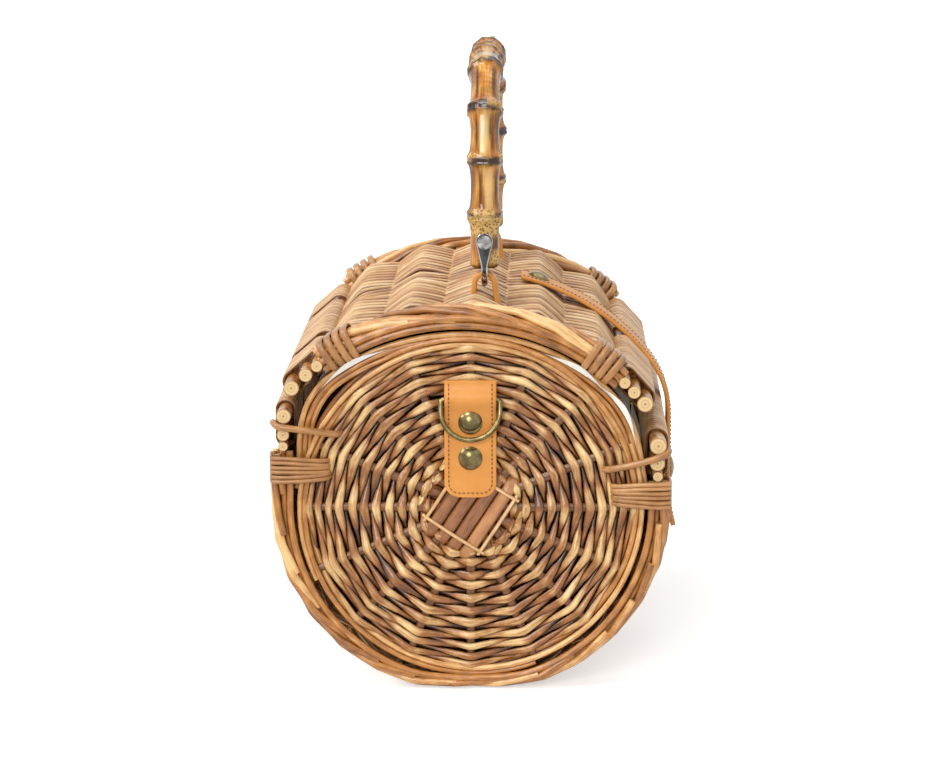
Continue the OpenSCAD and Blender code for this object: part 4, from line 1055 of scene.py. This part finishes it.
strap_path, strap_out = strap_line()
strap_half = strap_widths(strap_path)
piece("closing_strap_leather", [ribbon(strap_path, strap_out, strap_half, STRAP_T)], LEATHER, "lid",
      ["closing_strap"])
strap_seams = []
seam_in = strap_half > 3
for hand in (-1, 1):
    seam = strap_path + strap_out * STRAP_T + facing(hand) * np.maximum(strap_half - STITCH_IN, 0)[:, None]
    strap_seams.append(stitches(seam[seam_in], strap_out[seam_in]))
piece("closing_strap_thread", strap_seams, THREAD, "lid")
for name, side in ENDS:
    piece(f"{name}_handle_loop", [handle_loop(side)], LEATHER, "lid", [f"{name}_handle_tab"])
    piece(f"{name}_shackle_forged", [shackle(side)], STEEL, f"{name}_shackle",
          [f"{name}_shackle"])


def bamboo_handle():
    """The arched handle: two legs, two quarter circles and a flat top in the YZ plane. Along the run the
    radius is waisted between eleven nodes, flares towards each and stands out there as a double ring. Round
    the section it is changed by a factor: uneven lumps and a crown of root stubs at the nodes, a flat
    groove along one side of each internode and fine cross wrinkles. tone is the closeness to a node, ring
    the rough patches, cut the painted shade: dark lines beside the groove and along the two sides of the
    cane, less a painted highlight, a pale stripe in the groove."""
    leg = HANDLE_TOP - BEND - FOOT_Z
    arc, flat = BEND * math.pi / 2, HANDLE_HALF - BEND
    run = 2 * (leg + arc + flat)
    n, sides = 720, 48
    s = np.linspace(0, run, n)
    h = np.minimum(s, run - s)
    a = math.pi - np.clip(h - leg, 0, arc) / BEND
    where = [h < leg, h < leg + arc]
    y = np.select(where, [-HANDLE_HALF + 0 * h, -flat + BEND * np.cos(a)], h - leg - arc - flat)
    z = np.select(where, [FOOT_Z + h, HANDLE_TOP - BEND + BEND * np.sin(a)], HANDLE_TOP)
    y = np.where(s <= run / 2, y, -y)
    places = np.arange(1, NODES + 1) * run / (NODES + 1) + rng.normal(0, 0.7, NODES)
    d = s[:, None] - places
    double = np.exp(-((d - 1.6) / 1.3) ** 2) + 0.9 * np.exp(-((d + 1.5) / 1.2) ** 2)
    radius = 6.95 + (1.15 * np.exp(-(d / 5.5) ** 2) + 0.9 * double).sum(1)
    radius = radius + 0.35 * np.exp(-((h - 2.5) / 3) ** 2) - 0.9 * np.exp(-(h / 0.8) ** 2)
    path = points(HANDLE_X, y, z)[None]
    g = strands(path, np.array([1.0, 0, 0]), radius, radius, sides)

    # Arrays by point of the run, turn of the section and node; then by point and turn
    th = ((np.arange(sides) + 0.5) * TURN / sides - math.pi / 2)[None, :, None]
    d = d[:, None, :]
    free = rng.random((4, NODES)) * 6.3
    lump = (np.sin(5 * th + free[0]) + np.sin(7 * th + free[1]) + np.sin(11 * th + free[2])) / 3
    stub = np.clip(np.cos(9 * th + free[3] + 0.6 * lump), 0, 1) ** 2
    near = np.exp(-((d - 0.9 * lump) / 2.3) ** 2)
    turn, s, h = th[..., 0], s[:, None], h[:, None]
    inside = np.floor(np.interp(s, places, np.arange(NODES), left=-1, right=NODES)).astype(int)
    groove_a = 0.5 * rng.random(NODES + 1) - np.where(np.arange(NODES + 1) % 2, 0.35, 0.15)
    off = np.angle(np.exp(1j * (turn - np.concatenate([[0.3], groove_a])[inside + 1])))
    clear = 1 - np.exp(-(d / 4.5) ** 2).max(-1)
    groove = np.exp(-(off / 0.55) ** 2) * clear
    wrinkle = np.sin(s * TURN / 2.7 + 0.8 * np.sin(3 * turn)) * clear * (inside % 2 == 0)
    factor = 1 + (near * (0.05 * lump + 0.07 * stub)).sum(-1) - 0.1 * groove + 0.006 * wrinkle
    middle = path[0][:, None]
    body = g["co"][:n * sides].reshape(n, sides, 3)
    g["co"][:n * sides] = (middle + (body - middle) * factor[..., None]).reshape(-1, 3)

    scorch = np.exp(-((d + 0.7 * lump) / 2.1) ** 4) * (0.97 - 0.45 * stub) + 0.35 * np.exp(-(d / 4.5) ** 2)
    tone = np.clip(scorch.max(-1) + 0.8 * np.exp(-(h / 1.3) ** 2), 0, 1)
    collar = np.exp(-((h - 20.5) / 5.2) ** 6) * np.clip(0.9 + np.cos(turn - 0.2), 0, 1)
    foot = np.exp(-((h - 5.5) / 3.6) ** 6) * np.clip(2 * np.cos(turn - 1.0), 0, 1)
    scars = 0.9 * np.exp(-((d - 1.8) / 2.2) ** 4) * np.clip(2.4 * np.sin(2 * th + free[0]), 0, 1)
    rough = np.maximum(np.maximum(collar, foot), scars.max(-1))
    # Painted shade: dark lines at the groove's edges and along the cane's two sides; painted highlight: a
    # pale stripe down the groove
    edge = np.exp(-((np.abs(off) - 0.62) / 0.15) ** 2) * clear
    painted_side_shade = 0.97 * np.exp(-((np.abs(turn + 0.2 * np.sin(s / 9)) - 1.35) / 0.3) ** 2)
    pale = 0.7 * np.exp(-(off / 0.33) ** 4) * clear * (inside % 3 != 2)
    spare = 2 * (sides + 1)
    lines = np.maximum(edge, painted_side_shade) - pale
    for key, value, end in (("tone", tone, 0.55), ("ring", rough, 0.0), ("cut", lines, 0.0)):
        g[key] = np.concatenate([value.ravel(), np.full(spare, end)])
    return g


piece("bamboo_arch", [bamboo_handle()], BAMBOO, "handle", ["bamboo_handle"])


# Cotton lining

# The lining's depth and places in millimetres
LINING_IN = 11.4
LINING_BACK_Z, LINING_FRONT_Z = 124.0, 112.0
LINING_END_Y = 111.5
HEM_Y = 121.8


def lining_walls():
    """Grids of the cotton bag inside the basket. The barrel is the basket's outline, eleven millimetres in,
    from rim to rim, carried along Y; soft folds move it inwards by a sum of sines. An end wall is a disc
    behind the panel, by turn and radius, bowed a little and wider towards the lid; its outer face, painted
    near black as shade, fills the view through the panel's gaps and over its top. A hem is a sliver under
    the lid's inner edge, widest in its middle."""
    t = np.linspace(0, 1, 120)
    x, z, nx, nz = outline(t, LINING_BACK_Z, LINING_FRONT_Z, LINING_IN)
    y = np.linspace(-110, 110, 44)[:, None]
    fold = 0.5 * (np.sin(t * 47 + y / 19) + np.sin(t * 29 - y / 27 + 2)) - 0.5
    grids = [points(x + nx * fold, y, z + nz * fold)]
    a = np.linspace(0, TURN, 97)[None]
    f = np.linspace(0, 1, 6)[:, None]
    for side in (-1, 1):
        # The disc reaches the lid's inner edge, and its back, painted near black as shade, fills the view
        # through the panel
        r = np.linspace(0.006, 1, 24)[:, None] * lid_reach(np.mod(a, TURN), 83.6) - 0.6
        r = np.maximum(r, 0.3)
        disc = round_panel(r, a, side * (LINING_END_Y + 1.2 * np.sin(r / 13 + 2 * np.cos(2 * a))))
        grids.append(disc if side < 0 else disc[:, ::-1])
        for middle in (129, 53, 34):
            b = np.radians(middle + np.linspace(-15, 15, 41))[None]
            r = lid_reach(b, PANEL_TOP_R) - 3.4 + 2.7 * f * np.exp(-((np.degrees(b) - middle) / 7.5) ** 2)
            hem = round_panel(r, b, side * (HEM_Y + 0.5 * f + 0.3 * np.sin(14 * b)))
            grids.append(hem if side > 0 else hem[:, ::-1])
    return [g * MM for g in grids]


def lining_piece():
    """The lining's mesh: all its grids in one, each with its UV in metres along its rows and columns. It also
    adds up the flat size of all the grids: the barrel, the two end discs and the hems."""
    co, quads, uv, area, start = [], [], [], 0.0, 0
    for grid in lining_walls():
        rows, cols, _ = grid.shape
        at = start + np.arange(rows * cols).reshape(rows, cols)
        quads.append(np.stack([at[:-1, :-1], at[:-1, 1:], at[1:, 1:], at[1:, :-1]], -1).reshape(-1, 4))
        across = np.linalg.norm(np.diff(grid, axis=1), axis=-1).sum(1).max()
        long = np.linalg.norm(np.diff(grid, axis=0), axis=-1).sum(0).max()
        grid_uv = np.meshgrid(np.linspace(0, across, cols), np.linspace(0, long, rows))
        uv.append(np.stack(grid_uv, -1).reshape(-1, 2))
        a, b = grid[1:, 1:] - grid[:-1, :-1], grid[1:, :-1] - grid[:-1, 1:]
        area += 0.5 * np.linalg.norm(np.cross(a, b), axis=-1).sum()
        co.append(grid.reshape(-1, 3))
        start += rows * cols
    quads, uv = np.concatenate(quads), np.concatenate(uv)
    mesh = bpy.data.meshes.new("lining_cloth")
    mesh.from_pydata(np.concatenate(co).tolist(), [], quads.tolist())
    mesh.polygons.foreach_set("use_smooth", np.ones(len(quads), bool))
    mesh.uv_layers.new(name="UVMap").data.foreach_set("uv", uv[quads.ravel()].astype(np.float32).ravel())
    mesh.materials.append(COTTON)
    obj = bpy.data.objects.new("lining_cloth", mesh)
    bpy.context.scene.collection.objects.link(obj)
    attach(obj, "basket")
    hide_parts("cotton_lining")


lining_piece()

# CAD nodes that keep their shape
for node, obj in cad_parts.items():
    if "shackle" in node:
        finish = SCREW
    elif "rivet" in node or node.endswith("d_ring") or node.startswith("snap"):
        finish = BRASS
    else:
        continue
    for place in obj.material_slots:
        place.material = finish

# Floor, whose shadow is lifted a little for the camera
FLOOR_LIFT = 0.55
bpy.ops.mesh.primitive_plane_add(size=12, location=(0, 0, -0.0005))
floor = bpy.context.object
floor.name = "studio_floor"
white, tree, shader = new_material("floor_white")
camera_ray = add(tree, "ShaderNodeLightPath")["Is Camera Ray"]
fill(tree, shader, {
    "Base Color": (0.97, 0.97, 0.97),
    "Roughness": 0.9,
    "Specular IOR Level": 0.1,
    "Emission Color": (1, 1, 1),
    "Emission Strength": calc(tree, "MULTIPLY", camera_ray, FLOOR_LIFT),
})
floor.data.materials.append(white)

# World: white to the camera and in reflections, a soft glow as light
GLOW = 0.24
world = bpy.data.worlds.new("studio")
bpy.context.scene.world = world
world.use_nodes = True
tree = world.node_tree
tree.nodes.clear()
ray = add(tree, "ShaderNodeLightPath")
seen = calc(tree, "MAXIMUM", ray["Is Camera Ray"], ray["Is Glossy Ray"])
seen = calc(tree, "MAXIMUM", seen, ray["Is Transmission Ray"])
sky = tree.nodes.new("ShaderNodeMixShader")
for place, strength in ((1, GLOW), (2, 1.0)):
    light = add(tree, "ShaderNodeBackground", Color=(1, 1, 1), Strength=strength)
    tree.links.new(light[0], sky.inputs[place])
tree.links.new(seen, sky.inputs[0])
add(tree, "ShaderNodeOutputWorld", Surface=sky.outputs[0])


def lamp(name, azimuth, elevation, spread, strength):
    """A soft lamp far away, by the azimuth and elevation it stands at and the angle it fills, all in
    degrees."""
    light = bpy.data.lights.new(name, "SUN")
    light.angle = math.radians(spread)
    light.energy = strength
    obj = bpy.data.objects.new(name, light)
    bpy.context.scene.collection.objects.link(obj)
    obj.rotation_euler = (math.radians(90 - elevation), 0, math.radians(azimuth))


lamp("key_lamp", -45, 60, 24, 1.15)
lamp("left_lamp", -82, 36, 24, 1.0)
lamp("front_lamp", -14, 24, 24, 1.2)
lamp("side_lamp", 60, 35, 40, 0.25)
lamp("back_lamp", 150, 65, 40, 0.5)

# Camera fitted to the photograph: angles in degrees, distance in metres, focal length and width in pixels
AZIMUTH, ELEVATION, ROLL = 1.2376, 10.4676, -0.0626
DISTANCE = 1.6770929
AIM = Vector((-0.000454, 0, 0.12733))
FOCAL, PHOTO_WIDTH = 3241.84, 950
SENSOR = 36
a, e = math.radians(AZIMUTH), math.radians(ELEVATION)
back = Vector((math.sin(a) * math.cos(e), -math.cos(a) * math.cos(e), math.sin(e)))
eye = bpy.data.cameras.new("photo_camera")
eye.sensor_width = SENSOR
eye.lens = FOCAL / PHOTO_WIDTH * SENSOR
camera = bpy.data.objects.new("photo_camera", eye)
bpy.context.scene.collection.objects.link(camera)
camera.location = AIM + back * DISTANCE
turn = (-back).to_track_quat("-Z", "Y").to_matrix() @ Matrix.Rotation(math.radians(ROLL), 3, "Z")
camera.rotation_euler = turn.to_euler()
bpy.context.scene.camera = camera
bpy.context.scene.view_settings.view_transform = "Standard"
